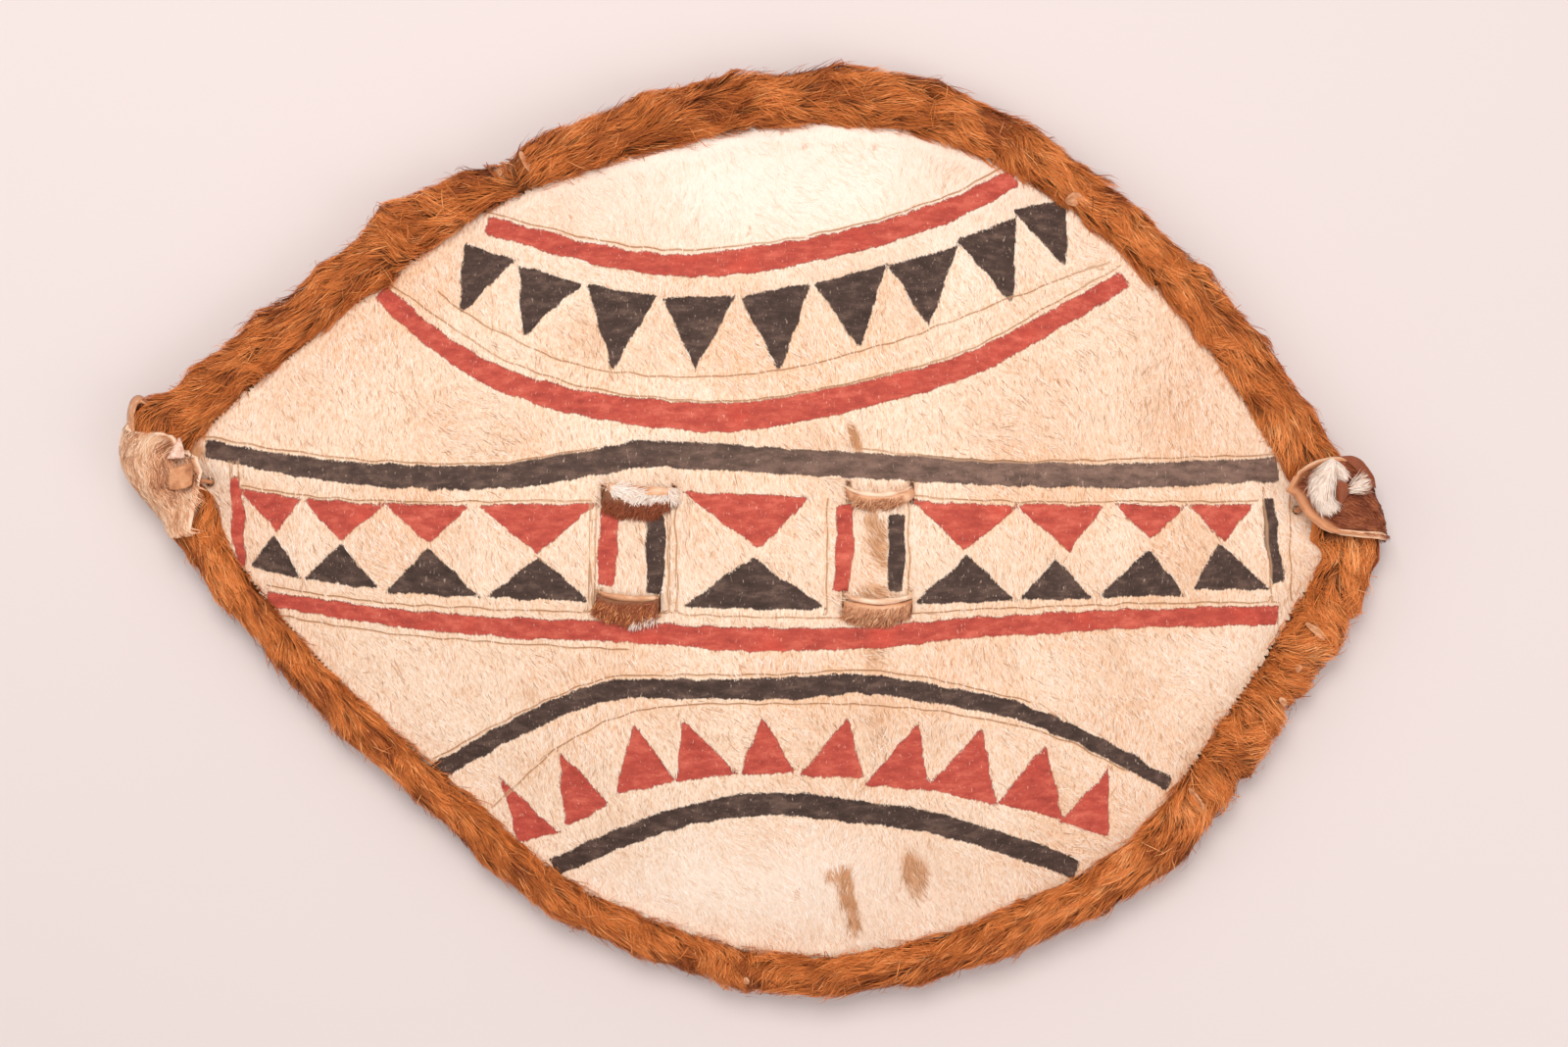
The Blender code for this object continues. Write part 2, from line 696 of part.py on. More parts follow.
def make_left_tie():
    """The thong that ends in a square tab on the pale cap."""
    run, slot_reach = left_slot
    at, inward, half = rim_at(run)
    across = (-inward.y, inward.x, 0.0)
    route = []

    def add(reach, z, width, thickness):
        plan = at + inward * reach
        route.append((plan.x, plan.y, z, *across, width, thickness))

    lift = TAB_THICKNESS / 2 + 2 * TOUCH
    start = slot_reach - TAB_LENGTH - SLOT_LENGTH
    for share in (0.0, 0.35, 0.7):
        reach = blend(share, start, slot_reach - SLOT_LENGTH / 2)
        top = cap_height(LEFT_CAP, reach, run, CAP_STAND + CAP_THICKNESS + TOUCH)
        add(reach, top + lift, TAB_WIDTH, TAB_THICKNESS)
    top = cap_height(LEFT_CAP, slot_reach, run, CAP_STAND + CAP_THICKNESS)
    add(slot_reach - SLOT_LENGTH / 4, top + lift, TIE_WIDTH * 1.3, TIE_THICKNESS)
    add(slot_reach + TOUCH, top - CAP_THICKNESS - TIE_THICKNESS, TIE_WIDTH, TIE_THICKNESS)
    tail = tie_tail(left_hole)
    above = Vector(tail[0][:3])
    under = Vector(route[-1][:3])
    middle = under.lerp(above, 0.5)
    route.append((*middle, *across, TIE_WIDTH, TIE_THICKNESS))
    sections = thong_sections(route + tail, 2, False)
    loft("left_tie", sections, False, Vector(route[0][:3]), "thong")


def make_right_tie():
    """The thong that ends in a pear of white fur, with a short end knotted across it."""
    run, slot_reach = right_slot
    at, inward, half = rim_at(run)
    along = Vector((-inward.y, inward.x))
    across = (along.x, along.y, 0.0)
    top = cap_height(RIGHT_CAP, slot_reach, run, CAP_STAND + CAP_THICKNESS)
    tail = tie_tail(right_hole)
    slot_plan = at + inward * slot_reach
    under = Vector((slot_plan.x, slot_plan.y, top - CAP_THICKNESS - TIE_THICKNESS))
    bend = under.lerp(Vector(tail[0][:3]), 0.5)
    route = [(*point, *across, TIE_WIDTH, TIE_THICKNESS) for point in (bend, under)]
    turning = (along + inward).normalized()
    lip = (slot_plan.x, slot_plan.y, top + TIE_THICKNESS / 2)
    route.append((*lip, turning.x, turning.y, 0.0, TIE_WIDTH, TIE_THICKNESS))
    crest = ROLL_MIDDLE + ROLL_HALF + CAP_STAND + CAP_THICKNESS + TOUCH
    for back, side, wide, thick in TUFT_SHAPE:
        plan = at + inward * (slot_reach - back * TUFT_WIDTH) + along * side * TUFT_LENGTH
        thickness = thick * TUFT_THICKNESS
        z = crest + thickness / 2 + 2 * TOUCH
        route.append((plan.x, plan.y, z, inward.x, inward.y, 0.0, wide * TUFT_WIDTH, thickness))
    route = tail[::-1] + route
    sections = thong_sections(route, 2, False)
    loft("right_tie", sections, False, Vector(route[0][:3]), "white_fur")


for old in list(bpy.data.objects):
    bpy.data.objects.remove(old)

shield = bpy.data.collections.new("hide_shield")
cutters = bpy.data.collections.new("cutters")
bpy.context.scene.collection.children.link(shield)
bpy.context.scene.collection.children.link(cutters)
shield_origin = bpy.data.objects.new("shield_origin", None)
shield.objects.link(shield_origin)
materials = {name: make_material(name) for name in MATERIALS}


def centre_shield():
    """Move everything so that the origin is under the middle of the shield's box."""
    bpy.context.view_layer.update()
    graph = bpy.context.evaluated_depsgraph_get()
    corners = []
    for obj in shield.objects:
        if obj.type != "EMPTY":
            shape = obj.evaluated_get(graph)
            corners += [shape.matrix_world @ Vector(corner) for corner in shape.bound_box]
    for axis in (0, 1):
        reach = [corner[axis] for corner in corners]
        shield_origin.location[axis] = -(min(reach) + max(reach)) / 2


def tip_hole(side, hole):
    """Plan of a tie's hole, set in from the roll at a height on one side."""
    run = run_at_height(side, hole[0] * RIM_RISE / 2)
    at, inward, half = rim_at(run)
    return at + inward * (inner_half(run) + hole[1])


left_hole = tip_hole(-1, LEFT_HOLE)
right_hole = tip_hole(1, RIGHT_HOLE)
left_slot = (run_at_height(-1, LEFT_SLOT_HEIGHT * RIM_RISE / 2), LEFT_SLOT_REACH)
right_slot = (run_at_height(1, RIGHT_SLOT_HEIGHT * RIM_RISE / 2), RIGHT_SLOT_REACH)

make_rim()
make_hide()
make_stave()
make_lashing("left_lashing", LASHING_X[0])
make_lashing("right_lashing", LASHING_X[1])
make_cap("left_cap", LEFT_CAP, "pale_hide", left_slot)
make_cap("right_cap", RIGHT_CAP, "dark_hide", right_slot)
make_left_tie()
make_right_tie()
centre_shield()
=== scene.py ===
import math

import bpy
import numpy as np
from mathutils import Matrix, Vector


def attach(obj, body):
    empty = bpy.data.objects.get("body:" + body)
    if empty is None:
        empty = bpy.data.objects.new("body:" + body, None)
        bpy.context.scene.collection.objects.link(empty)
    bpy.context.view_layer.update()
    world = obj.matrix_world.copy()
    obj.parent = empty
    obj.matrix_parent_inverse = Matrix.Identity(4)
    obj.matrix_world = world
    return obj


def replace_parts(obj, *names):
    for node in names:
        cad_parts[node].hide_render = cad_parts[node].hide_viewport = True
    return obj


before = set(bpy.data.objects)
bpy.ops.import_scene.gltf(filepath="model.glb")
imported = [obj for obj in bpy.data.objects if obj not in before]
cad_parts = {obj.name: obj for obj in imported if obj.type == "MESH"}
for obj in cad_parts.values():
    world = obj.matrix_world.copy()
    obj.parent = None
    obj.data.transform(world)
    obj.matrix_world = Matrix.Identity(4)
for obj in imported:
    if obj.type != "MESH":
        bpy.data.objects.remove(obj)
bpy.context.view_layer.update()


# Room: a pale floor under soft studio light, with the camera straight above the face.
# It looks down from 1.4 m, as far as the photographer stood. Lengths are in metres throughout,
# but seen places, read from the photograph at the rim's level, are in mm from the rim's middle.
EYE_HEIGHT = 1.415
SEEN_LEVEL = 0.015
SEEN_WIDTH = 0.848
EYE_PLAN = (0.0163, 0.0042)
SENSOR_WIDTH_MM = 36.0
FLOOR_COLOUR = (0.685, 0.622, 0.614)

camera_data = bpy.data.cameras.new("camera")
camera_data.sensor_width = SENSOR_WIDTH_MM
camera_data.lens = SENSOR_WIDTH_MM * (EYE_HEIGHT - SEEN_LEVEL) / SEEN_WIDTH
camera = bpy.data.objects.new("camera", camera_data)
camera.location = (*EYE_PLAN, EYE_HEIGHT)
bpy.context.scene.collection.objects.link(camera)
bpy.context.scene.camera = camera


def add_lamp(name, place, size, watts, colour):
    """A square soft lamp that points at the shield."""
    data = bpy.data.lights.new(name, "AREA")
    data.size = size
    data.energy = watts
    data.color = colour
    lamp = bpy.data.objects.new(name, data)
    lamp.location = place
    lamp.rotation_euler = (-Vector(place)).to_track_quat("-Z", "Y").to_euler()
    bpy.context.scene.collection.objects.link(lamp)


add_lamp("lamp_above", (-0.15, 0.80, 1.75), 0.9, 21.5, (1.0, 0.95, 0.91))
add_lamp("lamp_left", (-1.5, 0.2, 1.1), 1.1, 4.8, (1.0, 0.96, 0.93))
add_lamp("lamp_right", (1.3, -0.7, 1.2), 1.1, 9.5, (1.0, 0.93, 0.90))

world = bpy.data.worlds.new("room")
world.use_nodes = True
room_light = world.node_tree.nodes["Background"]
room_light.inputs["Color"].default_value = (1.0, 0.94, 0.92, 1.0)
room_light.inputs["Strength"].default_value = 0.62
bpy.context.scene.world = world
bpy.context.scene.view_settings.view_transform = "Standard"
bpy.context.scene.view_settings.look = "None"


def new_material(name, roughness, specular=0.3):
    """A material with its node tree and its shader."""
    material = bpy.data.materials.new(name)
    material.use_nodes = True
    shader = material.node_tree.nodes["Principled BSDF"]
    shader.inputs["Roughness"].default_value = roughness
    shader.inputs["Specular IOR Level"].default_value = specular
    return material, material.node_tree, shader


def feed(socket, value):
    """Give a socket a plain number, a plain colour or the output of another node."""
    if isinstance(value, (int, float)):
        socket.default_value = value
    elif isinstance(value, tuple):
        socket.default_value = (*value, 1.0)
    else:
        socket.id_data.links.new(value, socket)


def new_node(tree, kind, inputs):
    """A shader node of a kind, with what feeds each of its inputs."""
    node = tree.nodes.new("ShaderNode" + kind)
    for key, value in inputs.items():
        feed(node.inputs[key], value)
    return node


# Noise that isn't stretched any way
EVEN = (1.0, 1.0, 1.0)


def place_node(tree, stretch=EVEN, turn=0.0):
    """Coordinates in metres on the object, stretched and turned about the vertical."""
    coordinates = new_node(tree, "TexCoord", {}).outputs["Object"]
    mapping = new_node(tree, "Mapping", {"Vector": coordinates})
    mapping.inputs["Scale"].default_value = stretch
    mapping.inputs["Rotation"].default_value = (0.0, 0.0, turn)
    return mapping.outputs["Vector"]


def noise_node(place, scale, detail=3.0, rough=0.55):
    """Cloudy noise from nought to one."""
    inputs = {"Vector": place, "Scale": scale, "Detail": detail, "Roughness": rough}
    return new_node(place.id_data, "TexNoise", inputs).outputs["Fac"]


def ramp_node(value, stops):
    """A colour ramp with stops of place and colour."""
    ramp = new_node(value.id_data, "ValToRGB", {"Fac": value})
    elements = ramp.color_ramp.elements
    while len(elements) < len(stops):
        elements.new(0.5)
    for element, (place, colour) in zip(elements, stops):
        element.position = place
        element.color = (*colour, 1.0)
    return ramp.outputs["Color"]


def step_node(value, low, high, start=0.0, end=1.0):
    """A smooth step of a value between two limits."""
    step = new_node(value.id_data, "MapRange", {"Value": value})
    step.interpolation_type = "SMOOTHSTEP"
    for name, limit in (("From Min", low), ("From Max", high), ("To Min", start), ("To Max", end)):
        step.inputs[name].default_value = limit
    return step.outputs["Result"]


def sum_node(operation, first, second):
    """Arithmetic on a value and on another, which may be a plain number."""
    node = new_node(first.id_data, "Math", {0: first, 1: second})
    node.operation = operation
    return node.outputs["Value"]


def mix_node(share, first, second, kind="MIX"):
    """A mix of two colours, either of which may be plain, as may the share."""
    source = next(value for value in (share, first) if not isinstance(value, (float, tuple)))
    node = source.id_data.nodes.new("ShaderNodeMix")
    node.data_type = "RGBA"
    node.blend_type = kind
    node.clamp_factor = True
    for index, value in ((0, share), (6, first), (7, second)):
        feed(node.inputs[index], value)
    return node.outputs[2]


def attribute_node(tree, name):
    """A value kept on the mesh's points."""
    node = tree.nodes.new("ShaderNodeAttribute")
    node.attribute_name = name
    return node.outputs["Fac"]


def finish_shader(shader, colour, height=None, depth=0.0):
    """Give the shader its colour, and a bump where there is a height, with its depth in metres."""
    feed(shader.inputs["Base Color"], colour)
    if height is not None:
        bump = new_node(shader.id_data, "Bump", {"Height": height, "Distance": depth})
        feed(shader.inputs["Normal"], bump.outputs["Normal"])


floor_material, tree, shader = new_material("floor_paper", 0.9, 0.1)
cloud = noise_node(place_node(tree), 2.0)
finish_shader(shader, mix_node(cloud, FLOOR_COLOUR, tuple(c * 1.02 for c in FLOOR_COLOUR)))
floor_mesh = bpy.data.meshes.new("floor")
FLOOR_HALF = 4.0
FLOOR_LEVEL = -0.0004
floor_mesh.from_pydata(
    [(x * FLOOR_HALF, y * FLOOR_HALF, FLOOR_LEVEL) for x, y in ((-1, -1), (1, -1), (1, 1), (-1, 1))],
    [],
    [(0, 1, 2, 3)],
)
floor_mesh.materials.append(floor_material)
floor = bpy.data.objects.new("floor", floor_mesh)
bpy.context.scene.collection.objects.link(floor)


# Rim: five strips of goat skin rolled round the edge of the hide with the hair outside, wound on
# wet, butted end to end and dried tight. The orange-brown hair is 9 to 24 mm long and lies in
# clumps that overlap like shingles.
RIM_SHIFT = (-0.0004, 0.0015)
RIM_SPAN = 0.646
RIM_RISE = 0.471
ROLL_WIDTH = 0.034
ROLL_HALF = 0.015
ROLL_MIDDLE = 0.0142
HIDE_LEVEL = 0.015
SKIN_DEPTH = 0.0034

# Shares of half the span, half the rise and the roll's width, anticlockwise from the right tip
OUTLINE = [
    (1.000, -0.043, 0.96), (0.923, 0.173, 0.97), (0.795, 0.437, 0.87), (0.635, 0.673, 0.80),
    (0.438, 0.876, 0.87), (0.224, 0.981, 1.00), (0.003, 0.979, 1.00), (-0.211, 0.909, 0.95),
    (-0.433, 0.788, 0.78), (-0.589, 0.662, 0.92), (-0.758, 0.484, 0.88), (-0.925, 0.295, 0.90),
    (-0.998, 0.160, 0.95), (-0.958, 0.050, 0.84), (-0.880, -0.112, 0.68), (-0.726, -0.358, 0.66),
    (-0.515, -0.621, 0.67), (-0.342, -0.824, 0.68), (-0.170, -0.941, 0.70), (0.035, -1.017, 0.70),
    (0.240, -1.004, 0.73), (0.462, -0.902, 0.77), (0.659, -0.752, 0.85), (0.798, -0.513, 0.93),
    (0.913, -0.272, 0.92),
]

# Strips: name, start as shares of half span and rise, then pitch, depth and slant of the lumps
STRIPS = [
    ("rim_upper_right", (1.000, 0.020), 0.047, 0.0019, 1.0),
    ("rim_top", (0.537, 0.756), 0.052, 0.0020, -1.0),
    ("rim_upper_left", (-0.380, 0.842), 0.044, 0.0022, 1.0),
    ("rim_bottom", (-1.000, 0.110), 0.049, 0.0016, -1.0),
    ("rim_lower_right", (0.740, -0.633), 0.026, 0.0017, 1.0),
]

# A strip with windings closer than this shows them as slanted steps
TIGHT_PITCH = 0.030

# Folds that stand out of the roll: place, reach and height
FOLDS = [
    (-0.187, 0.158, 0.028, 0.0046),
    (-0.3125, 0.0545, 0.0105, 0.0105),
    (0.300, -0.054, 0.020, 0.0025),
]

# The same on the inner side, where the fur reaches over the hide
INNER_FOLDS = [
    (-0.3060, 0.0060, 0.016, 0.0075),
    (0.3215, 0.0010, 0.012, 0.0080),
    (-0.2050, 0.1430, 0.010, 0.0030),
]

# Bare places on the roll, where skin shows: place, reach and paleness
BARE = [
    (-0.1350, 0.1940, 0.0045, 1.0),
    (0.3241, -0.0382, 0.0050, 0.5),
    (0.3045, -0.0567, 0.0050, 0.8),
    (0.2950, -0.0742, 0.0045, 0.7),
    (0.2850, -0.0943, 0.0050, 0.8),
    (-0.0034, -0.2438, 0.0030, 0.7),
]

# Lie of the hair: seen place as shares, and its turn in degrees from the anticlockwise way
LIE = [
    ((1.000, 0.020), 195.0), ((0.923, 0.173), 205.0), ((0.795, 0.437), 168.0),
    ((0.635, 0.673), 190.0), ((0.537, 0.756), 172.0), ((0.438, 0.876), 205.0),
    ((0.224, 0.981), 165.0), ((0.050, 0.980), 188.0), ((-0.150, 0.935), 172.0),
    ((-0.380, 0.842), 165.0), ((-0.433, 0.788), 20.0), ((-0.589, 0.662), 48.0),
    ((-0.700, 0.540), -12.0), ((-0.850, 0.390), 22.0), ((-0.960, 0.250), 10.0),
    ((-1.000, 0.110), 25.0), ((-0.880, -0.112), 15.0), ((-0.726, -0.358), 28.0),
    ((-0.515, -0.621), 12.0), ((-0.342, -0.824), 20.0), ((-0.170, -0.941), 35.0),
    ((-0.020, -1.010), 85.0), ((0.080, -1.015), 150.0), ((0.240, -1.004), 165.0),
    ((0.462, -0.902), 158.0), ((0.659, -0.752), 170.0), ((0.740, -0.633), 150.0),
    ((0.798, -0.513), 60.0), ((0.860, -0.390), 105.0), ((0.913, -0.272), 40.0),
    ((0.960, -0.150), 130.0),
]


def smooth_points(points, steps, closed=True):
    """A smooth curve through points, with steps points in each span."""
    points = np.array(points, dtype=float)
    if closed:
        a, b, c, d = (np.roll(points, k, 0) for k in (1, 0, -1, -2))
    else:
        padded = np.vstack([points[:1], points, points[-1:]])
        a, b, c, d = padded[:-3], padded[1:-2], padded[2:-1], padded[3:]
    t = (np.arange(steps) / steps)[None, :, None]
    a, b, c, d = (p[:, None, :] for p in (a, b, c, d))
    curve = 2 * b + (c - a) * t + (2 * a - 5 * b + 4 * c - d) * t ** 2
    curve = ((curve + (3 * b - a - 3 * c + d) * t ** 3) / 2).reshape(-1, points.shape[1])
    return curve if closed else np.vstack([curve, points[-1:]])


rim_points = smooth_points(
    [(x * RIM_SPAN / 2, y * RIM_RISE / 2, w * ROLL_WIDTH / 2) for x, y, w in OUTLINE], 24
)
rim_points[:, :2] += RIM_SHIFT
rim_steps = np.linalg.norm(np.roll(rim_points, -1, 0)[:, :2] - rim_points[:, :2], axis=1)
RIM_LENGTH = rim_steps.sum()
rim_runs = np.concatenate([[0.0], np.cumsum(rim_steps)[:-1]])
rim_along = np.roll(rim_points, -1, 0)[:, :2] - np.roll(rim_points, 1, 0)[:, :2]
rim_along /= np.linalg.norm(rim_along, axis=1)[:, None]


def rim_at(run):
    """Place, way along and inward way on the plan, and half width, at runs along the rim."""
    run = np.mod(run, RIM_LENGTH)
    read = [np.interp(run, rim_runs, column, period=RIM_LENGTH) for column in rim_points.T]
    along = [np.interp(run, rim_runs, column, period=RIM_LENGTH) for column in rim_along.T]
    along = np.stack(along, -1)
    along /= np.linalg.norm(along, axis=-1, keepdims=True)
    inward = np.stack([-along[..., 1], along[..., 0]], -1)
    return np.stack(read[:2], -1), along, inward, read[2]


def run_near(place):
    """The run along the rim that is nearest to a place."""
    gaps = np.linalg.norm(rim_points[:, :2] - np.array(place), axis=1)
    return rim_runs[gaps.argmin()]


def run_of_shares(shares):
    """The run nearest to a place given in shares of half the span and rise."""
    return run_near((shares[0] * RIM_SPAN / 2 + RIM_SHIFT[0], shares[1] * RIM_RISE / 2 + RIM_SHIFT[1]))


def ripple(first, second, size, seed, waves=9):
    """Soft random waves over two coordinates, from about minus one to one."""
    draw = np.random.default_rng(seed)
    total = 0.0
    for _ in range(waves):
        way = draw.uniform(0.0, math.tau)
        pace = draw.uniform(0.7, 1.5) / size * math.tau
        total = total + np.sin(
            (first * math.cos(way) + second * math.sin(way)) * pace + draw.uniform(0.0, math.tau)
        )
    return total / math.sqrt(waves) * 0.9


# Stretches of the rim under the left and the right cap, as runs
CAP_RUNS = ((0.8090, 0.8595), (0.0055, 0.0490))


def under_caps(run, fade=0.012, margin=0.0):
    """One under a cap, nought away from it."""
    cover = np.zeros_like(run)
    for start, end in CAP_RUNS:
        away = np.abs(np.mod(run - (start + end) / 2 + RIM_LENGTH / 2, RIM_LENGTH) - RIM_LENGTH / 2)
        away = np.clip((away - (end - start) / 2 - margin) / fade, 0.0, 1.0)
        cover = np.maximum(cover, 1.0 - away)
    return cover * cover * (3 - 2 * cover)


def away_from(place, x, y):
    """Distances in plan of places from a point."""
    return np.hypot(place[..., 0] - x, place[..., 1] - y)


def roll_swell(run, angle, lumps):
    """How far the roll stands out of its plain section: winding ridges, drift and folds."""
    pitch, depth, slant = lumps
    place = rim_at(run)[0]
    outer_rise, inner_rise = (
        sum(height * np.exp(-(away_from(place, x, y) / reach) ** 2) for x, y, reach, height in folds)
        for folds in (FOLDS, INNER_FOLDS)
    )
    inner_rise = inner_rise * np.clip(np.cos(angle - 0.5), 0.0, 1.0) ** 2
    wave = math.tau * run / pitch + slant * angle
    ridge = 1.0 - 2.0 * np.abs(np.sin(wave / 2)) ** 0.7
    if pitch < TIGHT_PITCH:
        turn = np.mod(wave / math.tau, 1.0)
        ridge = np.where(turn < 0.12, -1.0 + turn / 0.06, 1.0 - (turn - 0.12) / 0.44)
    drift = 0.5 * np.sin(0.37 * wave + 2 * angle)
    outer = (1.0 - np.cos(angle)) / 2
    free = np.clip(np.sin((angle - 0.174) / 6.04 * math.pi), 0.0, 1.0) ** 0.5
    small = 0.0005 * ripple(run, angle * ROLL_HALF, 0.016, 7)
    ridges = depth * (ridge + drift) * (1.0 - under_caps(run))
    return (ridges + outer_rise * outer + small) * free + inner_rise


def roll_place(run, angle, rise, lumps):
    """Places on the roll, and the way out of it, at runs along it, angles round it and heights."""
    at, _, inward, half = rim_at(run)
    swell = roll_swell(run, angle, lumps)
    cos, sin = np.cos(angle), np.sin(angle)
    reach = (half + swell + rise) * cos
    up = ROLL_MIDDLE + (ROLL_HALF + swell * np.maximum(0.0, sin) + rise) * sin
    place = np.concatenate([at + inward * reach[..., None], np.maximum(up, 0.0005)[..., None]], -1)
    out = np.concatenate([inward * cos[..., None], sin[..., None]], -1)
    return place, out


def add_mesh(name, points, corners, starts, material):
    """A smooth mesh that rides with the shield: points, the faces' corners and where each face starts."""
    mesh = bpy.data.meshes.new(name)
    mesh.vertices.add(len(points))
    mesh.vertices.foreach_set("co", np.asarray(points, dtype=np.float32).ravel())
    mesh.loops.add(len(corners))
    mesh.loops.foreach_set("vertex_index", np.asarray(corners, dtype=np.int32))
    mesh.polygons.add(len(starts))
    mesh.polygons.foreach_set("loop_start", np.asarray(starts, dtype=np.int32))
    mesh.update(calc_edges=True)
    mesh.shade_smooth()
    mesh.materials.append(material)
    piece = bpy.data.objects.new(name, mesh)
    bpy.context.scene.collection.objects.link(piece)
    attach(piece, "root")
    return piece


def new_piece(name, points, faces, material):
    """A piece of four-sided faces."""
    piece = add_mesh(name, points, faces.ravel(), np.arange(0, faces.size, 4), material)
    piece.data.validate()
    return piece


def grid_faces(rows, columns, wrap=False):
    """Faces of a grid of points in rows, closed across the columns if wrapped."""
    spans = columns if wrap else columns - 1
    row, column = np.meshgrid(np.arange(rows - 1), np.arange(spans), indexing="ij")
    beside = (column + 1) % columns
    a, b = row * columns + column, row * columns + beside
    c, d = (row + 1) * columns + beside, (row + 1) * columns + column
    return np.stack([a, b, c, d], -1).reshape(-1, 4)


def set_values(piece, name, values):
    """Keep a value on each point of a piece."""
    attribute = piece.data.attributes.new(name, "FLOAT", "POINT")
    attribute.data.foreach_set("value", np.asarray(values, dtype=np.float32).ravel())


def unit(vectors):
    """Vectors brought to a length of one."""
    return vectors / np.maximum(np.linalg.norm(vectors, axis=-1, keepdims=True), 1e-9)


def hair_piece(name, paths, width, out, tone, material, spread, seed):
    """Hairs as slim tapered ribbons along paths (hair, point, axis), with the way out of the skin.

    Each ribbon is about flat to the skin, leaned by up to the spread in radians. Its place on its OFBake
    sheet holds its tone and the way from root to tip.
    """
    draw = np.random.default_rng(seed)
    count, levels = paths.shape[:2]
    way = unit(np.gradient(paths, axis=1))
    side = unit(np.cross(way, out))
    lift = np.cross(side, way)
    lean = draw.uniform(-spread, spread, (count, 1, 1))
    side = side * np.cos(lean) + lift * np.sin(lean)
    share = np.arange(levels) / (levels - 1)
    taper = (0.75 + 0.5 * share) * (1.0 - share ** 2.2)
    half = width[:, None, None] / 2 * taper[None, :, None]
    middle, edge = paths[:, :-1], side[:, :-1] * half[:, :-1]
    pairs = np.stack([middle - edge, middle + edge], 2).reshape(count, -1, 3)
    points = np.concatenate([pairs, paths[:, -1:]], 1)
    each = points.shape[1]
    points = points.reshape(-1, 3)
    points[:, 2] = np.maximum(points[:, 2], 0.0002)

    first = (np.arange(count) * each)[:, None]
    quads = [first + 2 * level + np.array([[0, 1, 3, 2]]) for level in range(levels - 2)]
    quads = np.stack(quads, 1).reshape(-1, 4)
    tips = first + np.array([[each - 3, each - 2, each - 1]])
    corners = np.concatenate([quads.ravel(), tips.ravel()])
    starts = np.concatenate([np.arange(len(quads)) * 4, quads.size + np.arange(len(tips)) * 3])
    piece = add_mesh(name, points, corners, starts, material)

    sheet = np.empty((count, each, 2))
    sheet[:, 0:-1:2, 0] = tone[:, None] - 0.004
    sheet[:, 1:-1:2, 0] = tone[:, None] + 0.004
    sheet[:, -1, 0] = tone
    sheet[:, :-1, 1] = np.repeat(share[:-1], 2)[None, :]
    sheet[:, -1, 1] = 1.0
    sheet = np.clip(sheet, 0.005, 0.995).reshape(-1, 2)
    layer = piece.data.uv_layers.new(name="OFBake")
    layer.data.foreach_set("uv", sheet[corners].astype(np.float32).ravel())


def mottled_material(name, roughness, specular, cloud, shades, depth, grain=None, flecks=None):
    """Skin whose shades drift in clouds, with flecks and a bump from a finer grain if it has one."""
    material, tree, shader = new_material(name, roughness, specular)
    clouds = noise_node(place_node(tree, cloud[0]), *cloud[1:])
    fine = noise_node(place_node(tree, grain[0]), *grain[1:]) if grain else clouds
    colour = ramp_node(clouds, shades)
    if flecks:
        low, high, strength, fleck_colour = flecks
        colour = mix_node(step_node(fine, low, high, 0.0, strength), colour, fleck_colour)
    finish_shader(shader, colour, fine, depth)
    return material


def hair_material(name, shades, root_painted_shade, tip_shade, roughness=0.62):
    """Hair whose colour goes with its own tone and with the way from root to tip; the darkening towards
    the root is painted shade down among the hairs.
    """
    material, tree, shader = new_material(name, roughness, 0.25)
    sheet = tree.nodes.new("ShaderNodeUVMap")
    sheet.uv_map = "OFBake"
    split = tree.nodes.new("ShaderNodeSeparateXYZ")
    feed(split.inputs["Vector"], sheet.outputs["UV"])
    tone = ramp_node(split.outputs["X"], shades)
    length = ramp_node(split.outputs["Y"], [
        (0.0, (root_painted_shade,) * 3), (0.55, (1.0,) * 3), (1.0, (tip_shade,) * 3),
    ])
    finish_shader(shader, mix_node(1.0, tone, length, "MULTIPLY"))
    return material


# Skin under the hair: brown where haired, pale tan where bare
rim_skin, tree, shader = new_material("rim_skin", 0.8)
cloud = noise_node(place_node(tree), 180.0)
brown = mix_node(cloud, (0.13, 0.035, 0.010), (0.24, 0.075, 0.020))
pale = mix_node(cloud, (0.80, 0.46, 0.26), (0.62, 0.27, 0.11))
skin = mix_node(attribute_node(tree, "bare"), brown, pale)
finish_shader(shader, skin, noise_node(place_node(tree), 900.0), 0.0006)

# Rim hair darkens strongly towards its roots, as painted shade deep in the fur.
rim_hair = hair_material(
    "rim_hair",
    [(0.0, (0.20, 0.038, 0.008)), (0.30, (0.46, 0.120, 0.022)), (0.60, (0.70, 0.215, 0.048)),
     (0.85, (0.86, 0.33, 0.10)), (1.0, (0.95, 0.50, 0.22))],
    0.30, 1.15,
)

lie_runs = np.unwrap([run_of_shares(place) for place, _ in LIE], period=RIM_LENGTH)
lie_turns = np.radians([turn for _, turn in LIE])


def hair_turn(run, arc):
    """The way the hair lies at places on the roll, as a turn from the anticlockwise way."""
    cos = np.interp(run, lie_runs, np.cos(lie_turns), period=RIM_LENGTH)
    sin = np.interp(run, lie_runs, np.sin(lie_turns), period=RIM_LENGTH)
    turn = np.arctan2(sin, cos) + 0.42 * ripple(run, arc, 0.030, 21)
    return turn + 0.20 * ripple(run, arc, 0.011, 22)


def bareness(place):
    """How bare the skin is at places on the roll."""
    bare = [paleness * np.exp(-(away_from(place, x, y) / reach) ** 4) for x, y, reach, paleness in BARE]
    return np.maximum.reduce(bare) * (place[..., 2] > ROLL_MIDDLE)


HAIRS_PER_METRE = 56000
HAIR_LENGTH = 0.0165
HAIR_WIDTH = 0.00044
CLUMP_SIZE = (0.0078, 0.0048)
CLUMP_KINDS = 4096
STRAY_SHARE = 0.045
LEAN_TO_CLUMP = 0.66
GOLDEN_SHARE = 0.04
SKIN_ROW = 0.0030
SKIN_COLUMNS = 40
END_ROUNDING = 0.008

